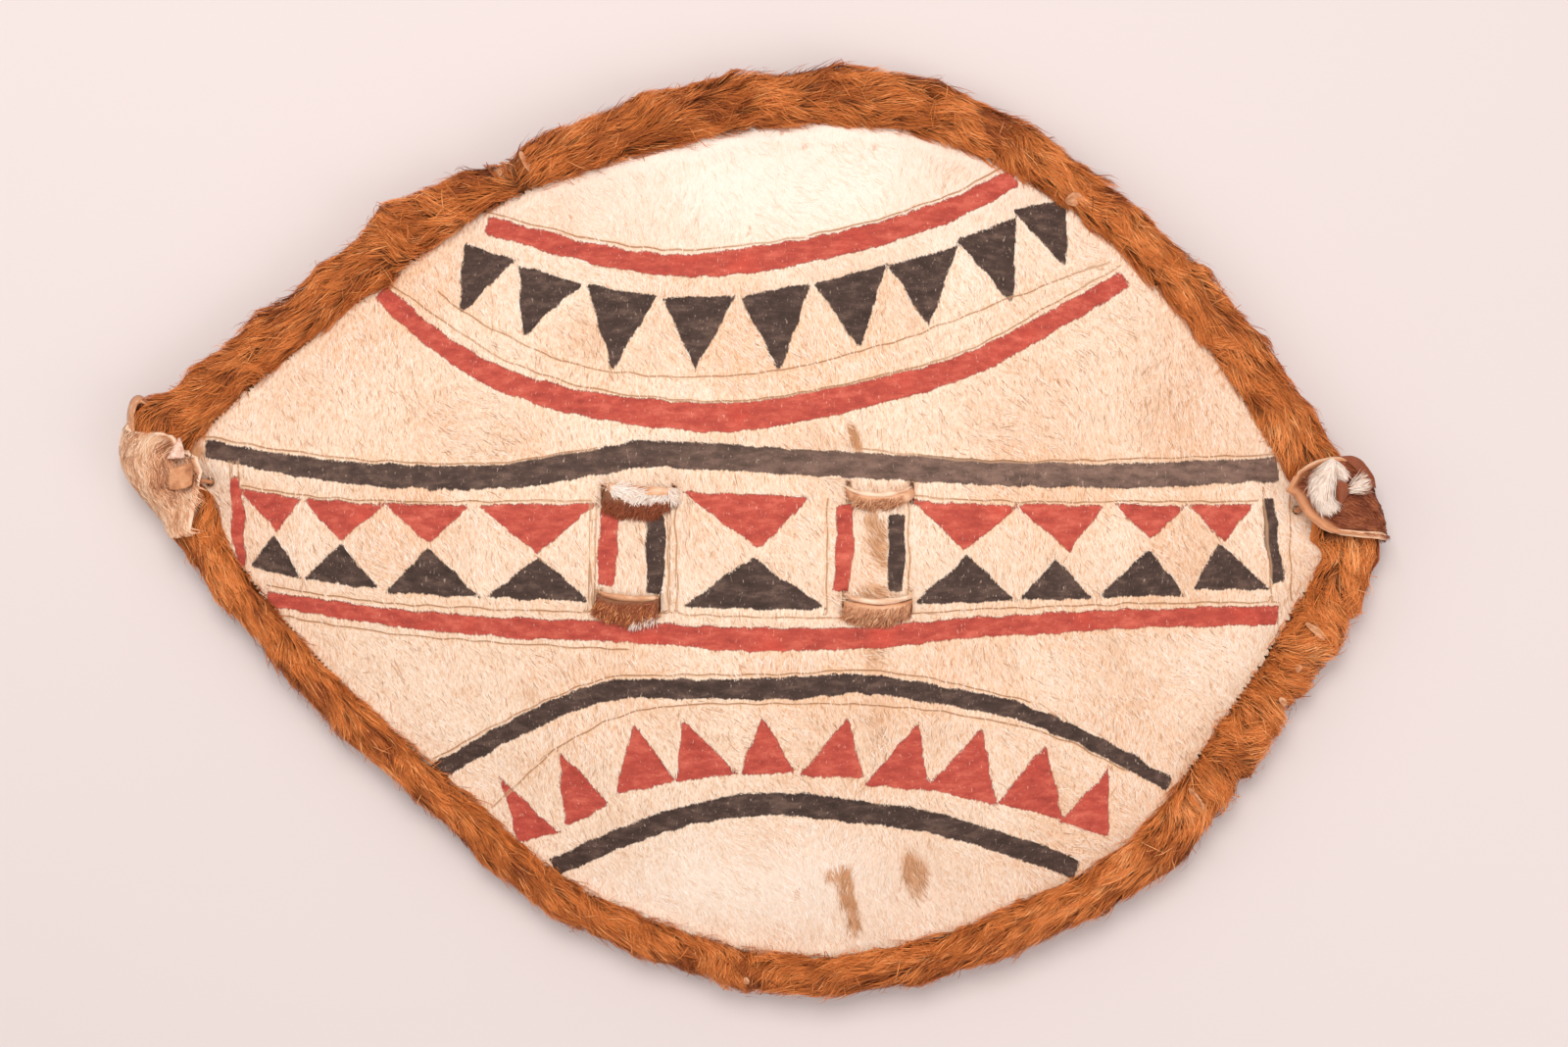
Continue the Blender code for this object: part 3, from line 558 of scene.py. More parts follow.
# Each strip is a tube of skin, rounded off at its ends, with hair on all but the caps' stretches
strip_starts = [run_of_shares(start) for _, start, *_ in STRIPS]
for index, (name, _, *lumps) in enumerate(STRIPS):
    start = strip_starts[index]
    length = np.mod(strip_starts[(index + 1) % len(STRIPS)] - start, RIM_LENGTH)
    rows = max(40, int(length / SKIN_ROW))
    share = np.linspace(0.0, 1.0, rows)
    run = (start + length * share)[:, None] + np.zeros((1, SKIN_COLUMNS))
    angle = np.zeros((rows, 1)) + np.linspace(0.0, math.tau, SKIN_COLUMNS + 1)[None, :-1]
    shut = np.clip(np.minimum(share, 1 - share) * length / END_ROUNDING, 0.0, 1.0)[:, None]
    sink = -SKIN_DEPTH - 0.007 * (1.0 - np.sqrt(1.0 - (1.0 - shut) ** 2))
    place, _ = roll_place(run, angle, sink + np.zeros_like(run), lumps)
    faces = grid_faces(rows, SKIN_COLUMNS, True)
    skin = new_piece(name + "_skin", place.reshape(-1, 3), faces, rim_skin)
    set_values(skin, "bare", bareness(place))
    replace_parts(skin, name)

    # Most hairs grow where they show, on the roll's upper side
    draw = np.random.default_rng(100 + index)
    count = int(HAIRS_PER_METRE * length)
    run = start + length * draw.random(count)
    on_top = draw.random(count) < 0.84
    angle = np.where(on_top, draw.uniform(-0.05, 3.5, count), draw.uniform(3.5, 6.0, count))
    keep = (draw.random(count) > under_caps(run, 0.004, -0.007)) | (angle < 0.75)
    run, angle = run[keep], angle[keep]
    root, _ = roll_place(run, angle, np.full(len(run), -SKIN_DEPTH), lumps)
    keep = draw.random(len(run)) > bareness(root) * 1.5
    run, angle = run[keep], angle[keep]
    count = len(run)
    arc = angle * ROLL_HALF

    # Each hair leans to the tip of its clump, all but the strays
    table = draw.random((CLUMP_KINDS, 5))
    column = np.floor(run / CLUMP_SIZE[0] + 0.45 * ripple(run, arc, 0.006, 31)).astype(int)
    row = np.floor(arc / CLUMP_SIZE[1] + 0.45 * ripple(run, arc, 0.005, 32)).astype(int)
    clump = table[np.mod(column * 7919 + row * 104729, CLUMP_KINDS)]
    middle_run = (column + 0.5) * CLUMP_SIZE[0]
    middle_arc = (row + 0.5) * CLUMP_SIZE[1]
    stray = draw.random(count) < STRAY_SHARE
    turn = hair_turn(middle_run, middle_arc) + 0.62 * (clump[:, 0] - 0.5)
    own = hair_turn(run, arc) + 0.30 * draw.normal(size=count)
    own = own + np.where(stray, 0.7 * draw.normal(size=count), 0.0)
    long = HAIR_LENGTH * (0.75 + 0.5 * clump[:, 1]) * draw.uniform(0.7, 1.15, count)
    pull = np.where(stray, 0.0, LEAN_TO_CLUMP)
    tip_run = (run + long * np.cos(own)) * (1 - pull) + (middle_run + long * np.cos(turn)) * pull
    tip_arc = (arc + long * np.sin(own)) * (1 - pull) + (middle_arc + long * np.sin(turn)) * pull
    crest = -0.0016 + 0.0027 * clump[:, 2] + 0.0004 * draw.normal(size=count)
    crest = np.where(stray, draw.uniform(0.0008, 0.0042, count), crest)
    pressed = under_caps(run, 0.010, 0.004)
    crest = crest * (1.0 - pressed) - 0.0012 * pressed
    share = np.linspace(0.0, 1.0, 4)[None, :]
    curl = (draw.normal(size=count) * 0.0007)[:, None] * np.sin(share * math.pi)
    path_run = run[:, None] + (tip_run - run)[:, None] * share - np.sin(own)[:, None] * curl
    path_arc = arc[:, None] + (tip_arc - arc)[:, None] * share + np.cos(own)[:, None] * curl
    climb = -SKIN_DEPTH + (crest + SKIN_DEPTH)[:, None] * (1.0 - (1.0 - share) ** 1.9)
    paths, out = roll_place(path_run, path_arc / ROLL_HALF, climb, lumps)

    # Clumps differ in tone at random, and lower clumps are darker as painted shade; the hair is darker
    # down in the grooves between windings, also painted shade, and lighter to the right
    tone = 0.46 + 0.18 * (clump[:, 3] - 0.5) + 0.24 * (clump[:, 2] - 0.5) + 0.10 * draw.normal(size=count)
    tone = tone + 0.13 * ripple(run, arc, 0.05, 41) + 0.08 * ripple(run, arc, 0.016, 42)
    groove = roll_swell(run, angle, lumps) / lumps[1]
    tone = tone - 0.30 * np.clip(-0.3 - groove, 0.0, 1.0) * (1.0 - under_caps(run, 0.004))
    tone = tone + 0.11 * np.clip(rim_at(run)[0][:, 0] / 0.30, 0.0, 1.0)
    tone = np.where(draw.random(count) < GOLDEN_SHARE, 0.90, tone)
    wide = HAIR_WIDTH * draw.uniform(0.7, 1.3, count)
    tone = np.clip(tone, 0.02, 0.98)
    hair_piece(name + "_hair", paths, wide, out, tone, rim_hair, 0.7, 200 + index)


# Painted hide: one 3 mm sheet of cream, short-haired hide, wetted and dried into a low dome with
# its edge held in the roll. The pattern is cut in with a knife point and filled with dull red and
# black paint.
HIDE_THICKNESS = 0.003
DOME_RISE = 0.048
DOME_POWER = 1.15
DOME_TOP = (-0.0004, -0.0025)
HIDE_INSET = 0.0057
FLANGE = 0.010
FACE_GRID = 0.0019
BACK_GRID = 0.0040

flange = rim_at(np.linspace(0.0, RIM_LENGTH, 720, endpoint=False))
flange_offset = flange[0] + flange[2] * (flange[3] - HIDE_INSET + FLANGE)[:, None] - DOME_TOP
flange_way = np.arctan2(flange_offset[:, 1], flange_offset[:, 0])
flange_reach = np.hypot(flange_offset[:, 0], flange_offset[:, 1])


def edge_reach(dx, dy):
    """How far the hide reaches under the roll, the way that an offset from its top points."""
    return np.interp(np.arctan2(dy, dx), flange_way, flange_reach, period=math.tau)


def hide_height(x, y):
    """Height of the face of the hide."""
    dx, dy = x - DOME_TOP[0], y - DOME_TOP[1]
    reach = edge_reach(dx, dy)
    share = np.clip(np.hypot(dx, dy) / reach, 0.0, 1.0)
    dome = DOME_RISE * (1.0 - share ** 2) ** DOME_POWER
    uneven = 0.0007 * ripple(x, y, 0.09, 51) + 0.0003 * ripple(x, y, 0.03, 52)
    return HIDE_LEVEL + HIDE_THICKNESS / 2 + dome + uneven * np.clip(2 - 2 * share, 0.0, 1.0)


def as_seen(x, y, z):
    """The seen place of a place on the shield, along the line of sight."""
    share = (EYE_HEIGHT - SEEN_LEVEL) / (EYE_HEIGHT - z)
    seen_x = (x - EYE_PLAN[0]) * share + EYE_PLAN[0] - RIM_SHIFT[0]
    seen_y = (y - EYE_PLAN[1]) * share + EYE_PLAN[1] - RIM_SHIFT[1]
    return seen_x * 1000, seen_y * 1000


def seen_place(seen_x, seen_y, z):
    """The place at a height that looks to be at a seen place."""
    share = (EYE_HEIGHT - z) / (EYE_HEIGHT - SEEN_LEVEL)
    x = (np.asarray(seen_x) / 1000 + RIM_SHIFT[0] - EYE_PLAN[0]) * share + EYE_PLAN[0]
    y = (np.asarray(seen_y) / 1000 + RIM_SHIFT[1] - EYE_PLAN[1]) * share + EYE_PLAN[1]
    return np.stack([x, y, z + 0.0 * x])


# Bands: smooth lines of seen places, with their width in mm at start, middle and end
RED_BANDS = [
    ([(-143, 164), (-79, 147), (-26, 142.5), (43, 153), (101, 170), (140, 189)], (9, 13, 10)),
    ([(-201, 127), (-169, 100), (-132, 79), (-79, 65.5), (-10, 60.5), (54, 71), (112, 87), (154, 108),
      (200, 134)], (9, 15, 9)),
    ([(-262, -38), (-195, -48), (-132, -53.5), (-68, -56), (-4.5, -60), (59, -59), (123, -53.5),
      (202, -49), (283, -47)], (8, 12, 9)),
    ([(-280.6, 27), (-279.3, 12), (-278.3, -5), (-276.5, -20)], (4.4, 7.3, 3.4)),
    ([(-77.5, 11.5), (-78.5, -12), (-79.5, -29.5)], (8.5, 9.2, 7.5)),
    ([(49.5, 12), (49.5, -12), (47.5, -32.5)], (8.0, 8.5, 7.5)),
]
BLACK_BANDS = [
    ([(-295, 43), (-248, 34), (-195, 28.5), (-132, 28.5), (-79, 37), (-47, 40), (59, 34), (186, 28.5),
      (283, 32)], (9, 14, 12)),
    ([(-53, 6.5), (-52.7, -12), (-53.0, -34)], (9.5, 10.2, 8.5)),
    ([(77.6, 6.5), (77.8, -12), (77.0, -33.0)], (8.6, 9.3, 7.5)),
    ([(77.5, 5.5), (77.6, 4.0), (77.6, 2.0)], (9.0, 9.0, 8.6)),
    ([(279.5, 14.5), (280.5, -6), (284, -28)], (5.5, 7.0, 5.5)),
    ([(-170, -131), (-121, -104), (-79, -88), (-36, -87), (17, -86.5), (59, -84), (101, -90), (144, -99),
      (186, -117), (224, -138)], (9, 10.5, 7)),
    ([(-107, -183), (-68, -166), (-26, -153), (17, -149), (54, -153), (96, -159), (144, -173),
      (174, -184)], (9, 12, 10)),
]

# Triangles: two corners of the base, then the point, as seen places
BLACK_TRIANGLES = [
    ((-156, 153), (-130, 145), (-158, 117)), ((-126, 141.5), (-93.5, 132), (-124, 105.5)),
    ((-89, 131), (-53, 125), (-76, 88)), ((-48, 124), (-11, 125), (-31, 87)),
    ((-6, 125), (30, 132), (14, 87)), ((34, 132), (71, 141.5), (57.5, 99)),
    ((74, 141.5), (109.5, 152), (95, 111)), ((111, 156), (141, 166.5), (140, 123.5)),
    ((141, 172), (168, 177), (169, 142.5)),
    ((-271, -20), (-245.5, -26.5), (-259, -4.2)), ((-241.5, -27), (-204, -32), (-223.5, -9.5)),
    ((-197.5, -34), (-149, -36.5), (-175.5, -12)), ((-142.5, -36.5), (-91, -38.5), (-116, -16.5)),
    ((-36.5, -42), (37, -43), (0, -16.5)), ((88, -40), (140, -38.5), (116, -15.5)),
    ((146.5, -37.5), (182, -37.5), (163.5, -17.5)), ((189, -36), (233, -36), (214, -12.5)),
    ((239, -32), (277.5, -32), (252.5, -9.5)),
    ((-74, 41), (-36, 41), (-60, 46.0)),
]
RED_TRIANGLES = [
    ((-276.5, 20.5), (-246, 15.5), (-257.5, -0.5)), ((-242, 15.5), (-202, 11.5), (-223.5, -6)),
    ((-198, 12.5), (-155.5, 11.5), (-175.5, -7)), ((-147.5, 12.5), (-86.5, 12.5), (-117, -12.5)),
    ((-36.5, 19), (29, 16.5), (3.5, -10)), ((88, 14), (141, 11), (114.5, -11)),
    ((144, 12.5), (189, 11.5), (170.5, -11)), ((197, 12.5), (231.5, 11), (215.5, -5)),
    ((236.5, 12.5), (268.5, 12.5), (255, -6)),
    ((-126.5, -169), (-106.5, -164), (-136, -136.5)), ((-101, -159.5), (-78.5, -149), (-104, -122.5)),
    ((-73.5, -142.5), (-42.5, -136.5), (-64, -107.5)), ((-40.5, -136.5), (-11, -131.5), (-38, -104)),
    ((-6, -132), (22, -131.5), (5, -103)), ((27, -133), (59, -134.5), (51, -103)),
    ((61.5, -138), (94.5, -141), (89, -106.5)), ((94.5, -140), (130.5, -149), (124, -109)),
    ((133, -148), (166.5, -157), (158, -118.5)), ((167.5, -158.5), (191.5, -166), (191.5, -132)),
]

# Knife cuts beside and between the painted shapes, as seen places
CUTS = [
    [(-170, 128), (-150, 113), (-89, 87), (-4.5, 83), (70, 99), (130, 121), (192, 144)],
    [(-150, 173), (-79, 155), (-26, 151), (43, 161), (101, 178), (138, 197)],
    [(-205, 138), (-160, 107), (-130, 89), (-79, 74), (-10, 69), (54, 79), (112, 95), (154, 117),
     (198, 142)],
    [(-297, 50), (-248, 41.5), (-195, 36), (-132, 36), (-85, 44)],
    [(59, 43), (120, 37), (186, 37), (283, 40)],
    [(-283.5, 35), (-283.5, 28)], [(-279, 35), (-278.6, 28)],
    [(-276, 23), (-246, 18), (-200, 14.5), (-120, 15), (-88, 15)],
    [(86, 17), (140, 14.5), (200, 14.5), (274, 15)],
    [(-258, -47), (-195, -57), (-132, -62), (-68, -65.5)],
    [(-262, -31), (-200, -40), (-132, -44), (-60, -46), (0, -48), (60, -48), (120, -44), (200, -41),
     (283, -40)],
    [(-85, 14), (-85.5, -44)], [(-88, 14), (-89, -44)],
    [(-46, 16), (-45.5, -46)], [(-42, 18), (-41.5, -46)],
    [(40, 16), (40, -45)], [(84.5, 14), (84.5, -43)], [(276, 22), (281, -38)], [(290, 22), (291, -38)],
    [(-172, -124), (-121, -97), (-79, -81), (-36, -79.5), (17, -79), (59, -76.5), (101, -82), (150, -94)],
    [(-140, -150), (-104, -118), (-64, -99), (-38, -96), (5, -95), (51, -95), (100, -99), (158, -111),
     (200, -130)],
]

# Stains: seen place and half sizes in mm, turn in degrees, strength
STAINS = [
    (54.5, 49.5, 3.0, 9, 18, 0.95), (66, -4, 5.5, 17, 10, 0.75), (65, -34, 10, 4, 0, 0.6),
    (64, -66, 4, 14, 5, 0.45), (66, -100, 7, 18, -5, 0.35), (47, -187, 8, 4.5, 10, 0.9),
    (51, -198, 4.5, 13, 12, 0.9),
    (54, -212, 3.5, 8, 5, 0.85), (87, -186, 6.5, 13, 8, 0.8), (-121, -88, 5, 8, 30, 0.35),
    (150, 60, 34, 20, 20, 0.20), (-150, 45, 40, 20, -20, 0.15), (230, 70, 22, 30, 20, 0.22),
    (-301.5, 41.5, 5.5, 5.0, 0, 0.85),
]


def stain_white_and_top_light(px, py):
    """How strongly seen places are stained, and how white the hair is there: whiter near the top as
    painted light on the dome's upper slope, and whiter near the bottom.
    """
    stain = np.zeros_like(px)
    for cx, cy, wide, tall, turn, strength in STAINS:
        cos, sin = math.cos(math.radians(turn)), math.sin(math.radians(turn))
        dx, dy = px - cx, py - cy
        edge = ((dx * cos + dy * sin) / wide) ** 2 + ((dy * cos - dx * sin) / tall) ** 2
        edge = edge + 0.25 * ripple(px, py, 12.0, 71)
        here = np.clip(1.5 - edge, 0.0, 1.0) if strength > 0.4 else np.exp(-np.maximum(edge, 0.0))
        stain = np.maximum(stain, strength * here)
    white = np.exp(-((px - 10) / 150) ** 2 - ((py - 195) / 50) ** 2)
    white = np.maximum(white, 0.7 * np.exp(-((px - 20) / 110) ** 2 - ((py + 195) / 32) ** 2))
    return stain, white


FAR = 1e3


def line_gap(px, py, start, end):
    """Distance from a straight line, share along it, and distance to its side, left being positive."""
    dx, dy = end[0] - start[0], end[1] - start[1]
    x, y = px - start[0], py - start[1]
    share = np.clip((x * dx + y * dy) / (dx * dx + dy * dy), 0.0, 1.0)
    return np.hypot(x - dx * share, y - dy * share), share, (dx * y - dy * x) / math.hypot(dx, dy)


def band_gap(px, py, line, widths):
    """Distance in mm outside a band, below nought inside it, with its ends cut square."""
    curve = smooth_points(line, 10, False)
    share = np.linspace(0.0, 1.0, len(curve))
    half = np.interp(share, (0.0, 0.5, 1.0), widths) / 2
    best = np.full(px.shape, FAR)
    for index in range(len(curve) - 1):
        away, share, _ = line_gap(px, py, curve[index], curve[index + 1])
        best = np.minimum(best, away - (half[index] + (half[index + 1] - half[index]) * share))
    for end, before, wide in ((curve[0], curve[1], widths[0]), (curve[-1], curve[-2], widths[2])):
        way = (end - before) / np.linalg.norm(end - before)
        past = (px - end[0]) * way[0] + (py - end[1]) * way[1] - 0.8
        near = np.hypot(px - end[0], py - end[1]) < wide + 2.0
        best = np.where(near, np.maximum(best, past), best)
    return best


def triangle_gap(px, py, corners):
    """Distance in mm outside a triangle with sharp corners, below nought inside it."""
    sides = list(zip(corners, corners[1:] + corners[:1]))
    way_round = math.copysign(1.0, sum(ax * by - bx * ay for (ax, ay), (bx, by) in sides))
    outside = [-line_gap(px, py, *side)[2] * way_round for side in sides]
    return np.maximum.reduce(outside) - 0.5


def paint_gaps(x, y):
    """Distances in mm from the red, the black and the knife cuts, and the side of the nearest cut."""
    px, py = as_seen(x, y, hide_height(x, y))
    px = px + 0.5 * ripple(px, py, 24.0, 61)
    py = py + 0.5 * ripple(px, py, 21.0, 62)
    red, black = (
        np.minimum.reduce([band_gap(px, py, *band) for band in bands]
                          + [triangle_gap(px, py, corners) for corners in triangles])
        for bands, triangles in ((RED_BANDS, RED_TRIANGLES), (BLACK_BANDS, BLACK_TRIANGLES))
    )
    cuts = np.full(px.shape, FAR)
    sides = np.full(px.shape, FAR)
    for cut in CUTS:
        curve = smooth_points(cut, 5, False)
        for start, end in zip(curve[:-1], curve[1:]):
            away, _, side = line_gap(px, py, start, end)
            sides = np.where(away < cuts, side, sides)
            cuts = np.minimum(cuts, away)
    return red, black, cuts, sides


# Slits for the lashings and holes for the ties
SLIT_PLACES = [(-0.0786, 0.0190), (-0.0412, 0.0190), (-0.0808, -0.0370), (-0.0494, -0.0385),
               (0.0500, 0.0205), (0.0834, 0.0205), (0.0480, -0.0370), (0.0824, -0.0370)]
HOLE_PLACES = [(-0.2941, 0.0266), (0.2938, 0.0114)]
SLIT_HALF_LENGTH = 0.0052
SLIT_HALF_WIDTH = 0.0011
HOLE_RADIUS = 0.0024


def opening_gap(x, y):
    """Distance in metres from the nearest slit or hole in the hide."""
    gap = np.full(x.shape, 1.0)
    for cx, cy in SLIT_PLACES:
        past_end = np.maximum(np.abs(y - cy) - SLIT_HALF_LENGTH, 0.0)
        gap = np.minimum(gap, np.hypot(x - cx, past_end) - SLIT_HALF_WIDTH)
    for cx, cy in HOLE_PLACES:
        gap = np.minimum(gap, np.hypot(x - cx, y - cy) - HOLE_RADIUS)
    return gap


def sheet_part(step, drop):
    """Points and faces of the hide on a square grid, held inside the roll."""
    x, y = np.meshgrid(np.arange(-0.325, 0.325, step), np.arange(-0.240, 0.240, step))
    dx, dy = x - DOME_TOP[0], y - DOME_TOP[1]
    reach = edge_reach(dx, dy)
    limit = reach + FLANGE - 0.0015
    inside = np.hypot(dx, dy) < limit
    faces = grid_faces(*x.shape)
    faces = faces[inside.ravel()[faces].all(1)]
    used, where = np.unique(faces, return_inverse=True)
    x, y = x.ravel()[used], y.ravel()[used]
    dx, dy = x - DOME_TOP[0], y - DOME_TOP[1]
    away = np.hypot(dx, dy)
    limit = limit.ravel()[used]
    out = np.where(away > limit - step, limit / away, 1.0)
    x, y = DOME_TOP[0] + dx * out, DOME_TOP[1] + dy * out
    gap = opening_gap(x, y)
    z = hide_height(x, y) - drop
    return x, y, z, gap, where.reshape(-1, 4)


hide_paint, tree, shader = new_material("painted_hide_face", 0.78, 0.25)
lie = place_node(tree, (1.0, 0.30, 1.0), math.radians(-24.0))
flat = place_node(tree)
fine = noise_node(lie, 900.0, 4.0, 0.7)
middle = noise_node(lie, 260.0, 3.0)
broad = noise_node(flat, 14.0, 3.0)
ground = ramp_node(fine, [
    (0.28, (0.56, 0.30, 0.17)), (0.45, (0.84, 0.60, 0.42)), (0.62, (0.95, 0.80, 0.66)),
])
warm = mix_node(step_node(broad, 0.42, 0.68), (1.0, 1.0, 1.0), (0.93, 0.80, 0.70))
ground = mix_node(1.0, ground, warm, "MULTIPLY")
# Whiter towards the top of the face, painted light where the dome's upper slope meets the light, and
# whiter near the bottom.
white_and_top_light = step_node(attribute_node(tree, "white"), 0.0, 1.0)
white = mix_node(white_and_top_light, ground, (0.97, 0.90, 0.82))
ground = mix_node(0.75, ground, white)
blotch = noise_node(flat, 60.0, 4.0, 0.6)
freckle = step_node(noise_node(place_node(tree, (1.0, 0.5, 1.0)), 160.0, 2.0), 0.68, 0.76)
ground = mix_node(sum_node("MULTIPLY", freckle, 0.55), ground, (0.62, 0.27, 0.12))
blotchy = step_node(blotch, 0.30, 0.50, 0.55, 1.0)
stain = sum_node("MULTIPLY", attribute_node(tree, "stain"), blotchy)
ground = mix_node(stain, ground, (0.56, 0.245, 0.095))

# The paint's edge wanders with the noise, and hairs stand across it
wander = sum_node("MULTIPLY", sum_node("SUBTRACT", middle, 0.53), 2.8)
grit = sum_node("MULTIPLY", sum_node("SUBTRACT", fine, 0.60), 2.6)
rough_edge = sum_node("ADD", wander, grit)
red_gap = sum_node("ADD", attribute_node(tree, "red"), rough_edge)
black_gap = sum_node("ADD", attribute_node(tree, "black"), rough_edge)
brushed = noise_node(place_node(tree, (0.42, 1.0, 1.0), math.radians(4.0)), 200.0, 5.0, 0.72)
red = ramp_node(brushed, [
    (0.28, (0.30, 0.040, 0.030)), (0.50, (0.47, 0.075, 0.050)), (0.72, (0.66, 0.150, 0.100)),
])
bright = noise_node(flat, 26.0, 2.0)
red = mix_node(step_node(bright, 0.55, 0.75, 0.0, 0.45), red, (0.66, 0.075, 0.045))
black = ramp_node(brushed, [
    (0.30, (0.036, 0.021, 0.016)), (0.50, (0.064, 0.038, 0.030)), (0.75, (0.17, 0.105, 0.080)),
])
streaks = step_node(brushed, 0.30, 0.68, 0.25, 0.85)
dusty = sum_node("MULTIPLY", attribute_node(tree, "dusty"), streaks)
black = mix_node(dusty, black, (0.27, 0.165, 0.125))
worn = step_node(fine, 0.61, 0.70, 0.0, 0.75)
red = mix_node(worn, red, (0.80, 0.42, 0.32))
black = mix_node(worn, black, (0.55, 0.40, 0.32))
in_red = step_node(red_gap, 0.45, -0.45)
in_black = step_node(black_gap, 0.45, -0.45)
face = mix_node(in_black, mix_node(in_red, ground, red), black)
cut_side = sum_node("ADD", attribute_node(tree, "cut_side"), sum_node("MULTIPLY", wander, 0.25))
cut_side = sum_node("ABSOLUTE", cut_side, 0.0)
cut_gap = attribute_node(tree, "cut")
cut = sum_node("MULTIPLY", step_node(cut_side, 0.50, 0.15), step_node(cut_gap, 1.6, 0.9))
cut_halo = sum_node("MULTIPLY", step_node(cut_side, 1.5, 0.4), step_node(cut_gap, 2.4, 1.2))
patchy = step_node(broad, 0.34, 0.55, 0.40, 0.95)
face = mix_node(sum_node("MULTIPLY", cut_halo, 0.45), face, (0.80, 0.50, 0.30))
face = mix_node(sum_node("MULTIPLY", cut, patchy), face, (0.52, 0.26, 0.135))
# Slits and holes are painted near black, as painted shade inside them; the face is only dipped there, not
# cut through.
painted_hole_shade = step_node(attribute_node(tree, "painted_hole_shade"), 0.6, -0.4)
face = mix_node(painted_hole_shade, face, (0.03, 0.015, 0.010))
painted = sum_node("MAXIMUM", in_red, in_black)
grain = sum_node("MULTIPLY", fine, step_node(painted, 0.0, 1.0, 1.0, 0.45))
height = sum_node("SUBTRACT", grain, sum_node("MULTIPLY", cut, 0.7))
height = sum_node("SUBTRACT", height, sum_node("MULTIPLY", painted, 0.5))
finish_shader(shader, face, height, 0.0007)

hide_raw, tree, shader = new_material("raw_hide_back", 0.75, 0.3)
cloud = noise_node(place_node(tree), 40.0, 5.0, 0.6)
vein = noise_node(place_node(tree, (1.0, 0.4, 1.0), 0.6), 220.0, 3.0)
raw = ramp_node(cloud, [
    (0.30, (0.46, 0.27, 0.14)), (0.52, (0.68, 0.47, 0.29)), (0.72, (0.80, 0.62, 0.42)),
])
raw = mix_node(step_node(vein, 0.50, 0.75, 0.0, 0.5), raw, (0.40, 0.22, 0.11))
finish_shader(shader, raw, vein, 0.0006)

# The hide dips round each slit and hole, with a small raised edge
x, y, z, gap, faces = sheet_part(FACE_GRID, 0.0)
z = z - 0.0026 * np.clip(1.0 - gap / 0.0015, 0.0, 1.0) - 0.0008 * np.exp(-np.maximum(gap, 0.0) / 0.006)
z = z + 0.0007 * np.exp(-((gap - 0.0014) / 0.0010) ** 2)
red_gap, black_gap, cut_gap, cut_side = paint_gaps(x, y)
hide_front = new_piece("hide_front", np.stack([x, y, z], -1), faces, hide_paint)
seen_x, seen_y = as_seen(x, y, z)
stain, white = stain_white_and_top_light(seen_x, seen_y)
black_dust = np.exp(-((seen_y - 34.0) / 13.0) ** 4) * np.clip(0.55 + seen_x / 260, 0.15, 1.0)
for name, values in (("red", red_gap), ("black", black_gap), ("cut", cut_gap), ("cut_side", cut_side),
                     ("stain", stain), ("white", white), ("dusty", black_dust), ("painted_hole_shade", gap * 1000)):
    set_values(hide_front, name, values)
x, y, z, gap, faces = sheet_part(BACK_GRID, HIDE_THICKNESS)
hide_back = new_piece("hide_back", np.stack([x, y, z], -1), faces[:, ::-1], hide_raw)
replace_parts(hide_front, "hide_face")
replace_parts(hide_back, "hide_face")

# Short hair on the face, left off under the paint and along the cuts
FACE_HAIRS = 52000
FACE_HAIR_LENGTH = 0.0066
FACE_HAIR_WIDTH = 0.00042
UPWARD = (0.0, 0.0, 1.0)
face_hair = hair_material(
    "face_hair",
    [(0.0, (0.42, 0.20, 0.09)), (0.12, (0.74, 0.48, 0.30)), (0.45, (0.90, 0.72, 0.56)),
     (1.0, (0.99, 0.92, 0.84))],
    0.86, 1.0, 0.7,
)
draw = np.random.default_rng(300)
x = draw.uniform(-0.31, 0.31, FACE_HAIRS * 3)
y = draw.uniform(-0.235, 0.235, FACE_HAIRS * 3)
dx, dy = x - DOME_TOP[0], y - DOME_TOP[1]
inside = np.hypot(dx, dy) < edge_reach(dx, dy) + 0.001
x, y = x[inside], y[inside]
turn = math.radians(-62.0) + 0.50 * ripple(x, y, 0.12, 81) + 0.25 * ripple(x, y, 0.03, 82)
turn = turn + 0.28 * draw.normal(size=len(x))
long = FACE_HAIR_LENGTH * draw.uniform(0.6, 1.25, len(x))
FIELD_GRID = 0.001
line_x, line_y = np.arange(-0.322, 0.323, FIELD_GRID), np.arange(-0.247, 0.248, FIELD_GRID)
red_gap, black_gap, cut_gap, _ = paint_gaps(*np.meshgrid(line_x, line_y))
fields = np.stack([np.minimum(red_gap, black_gap), cut_gap])


def read_fields(x, y):
    """Distances from paint and from cuts at places, read from a fine grid."""
    across = np.clip((x - line_x[0]) / FIELD_GRID, 0, len(line_x) - 1.001)
    up = np.clip((y - line_y[0]) / FIELD_GRID, 0, len(line_y) - 1.001)
    i, j = across.astype(int), up.astype(int)
    u, v = across - i, up - j
    low = fields[:, j, i] * (1 - u) + fields[:, j, i + 1] * u
    high = fields[:, j + 1, i] * (1 - u) + fields[:, j + 1, i + 1] * u
    return low * (1 - v) + high * v


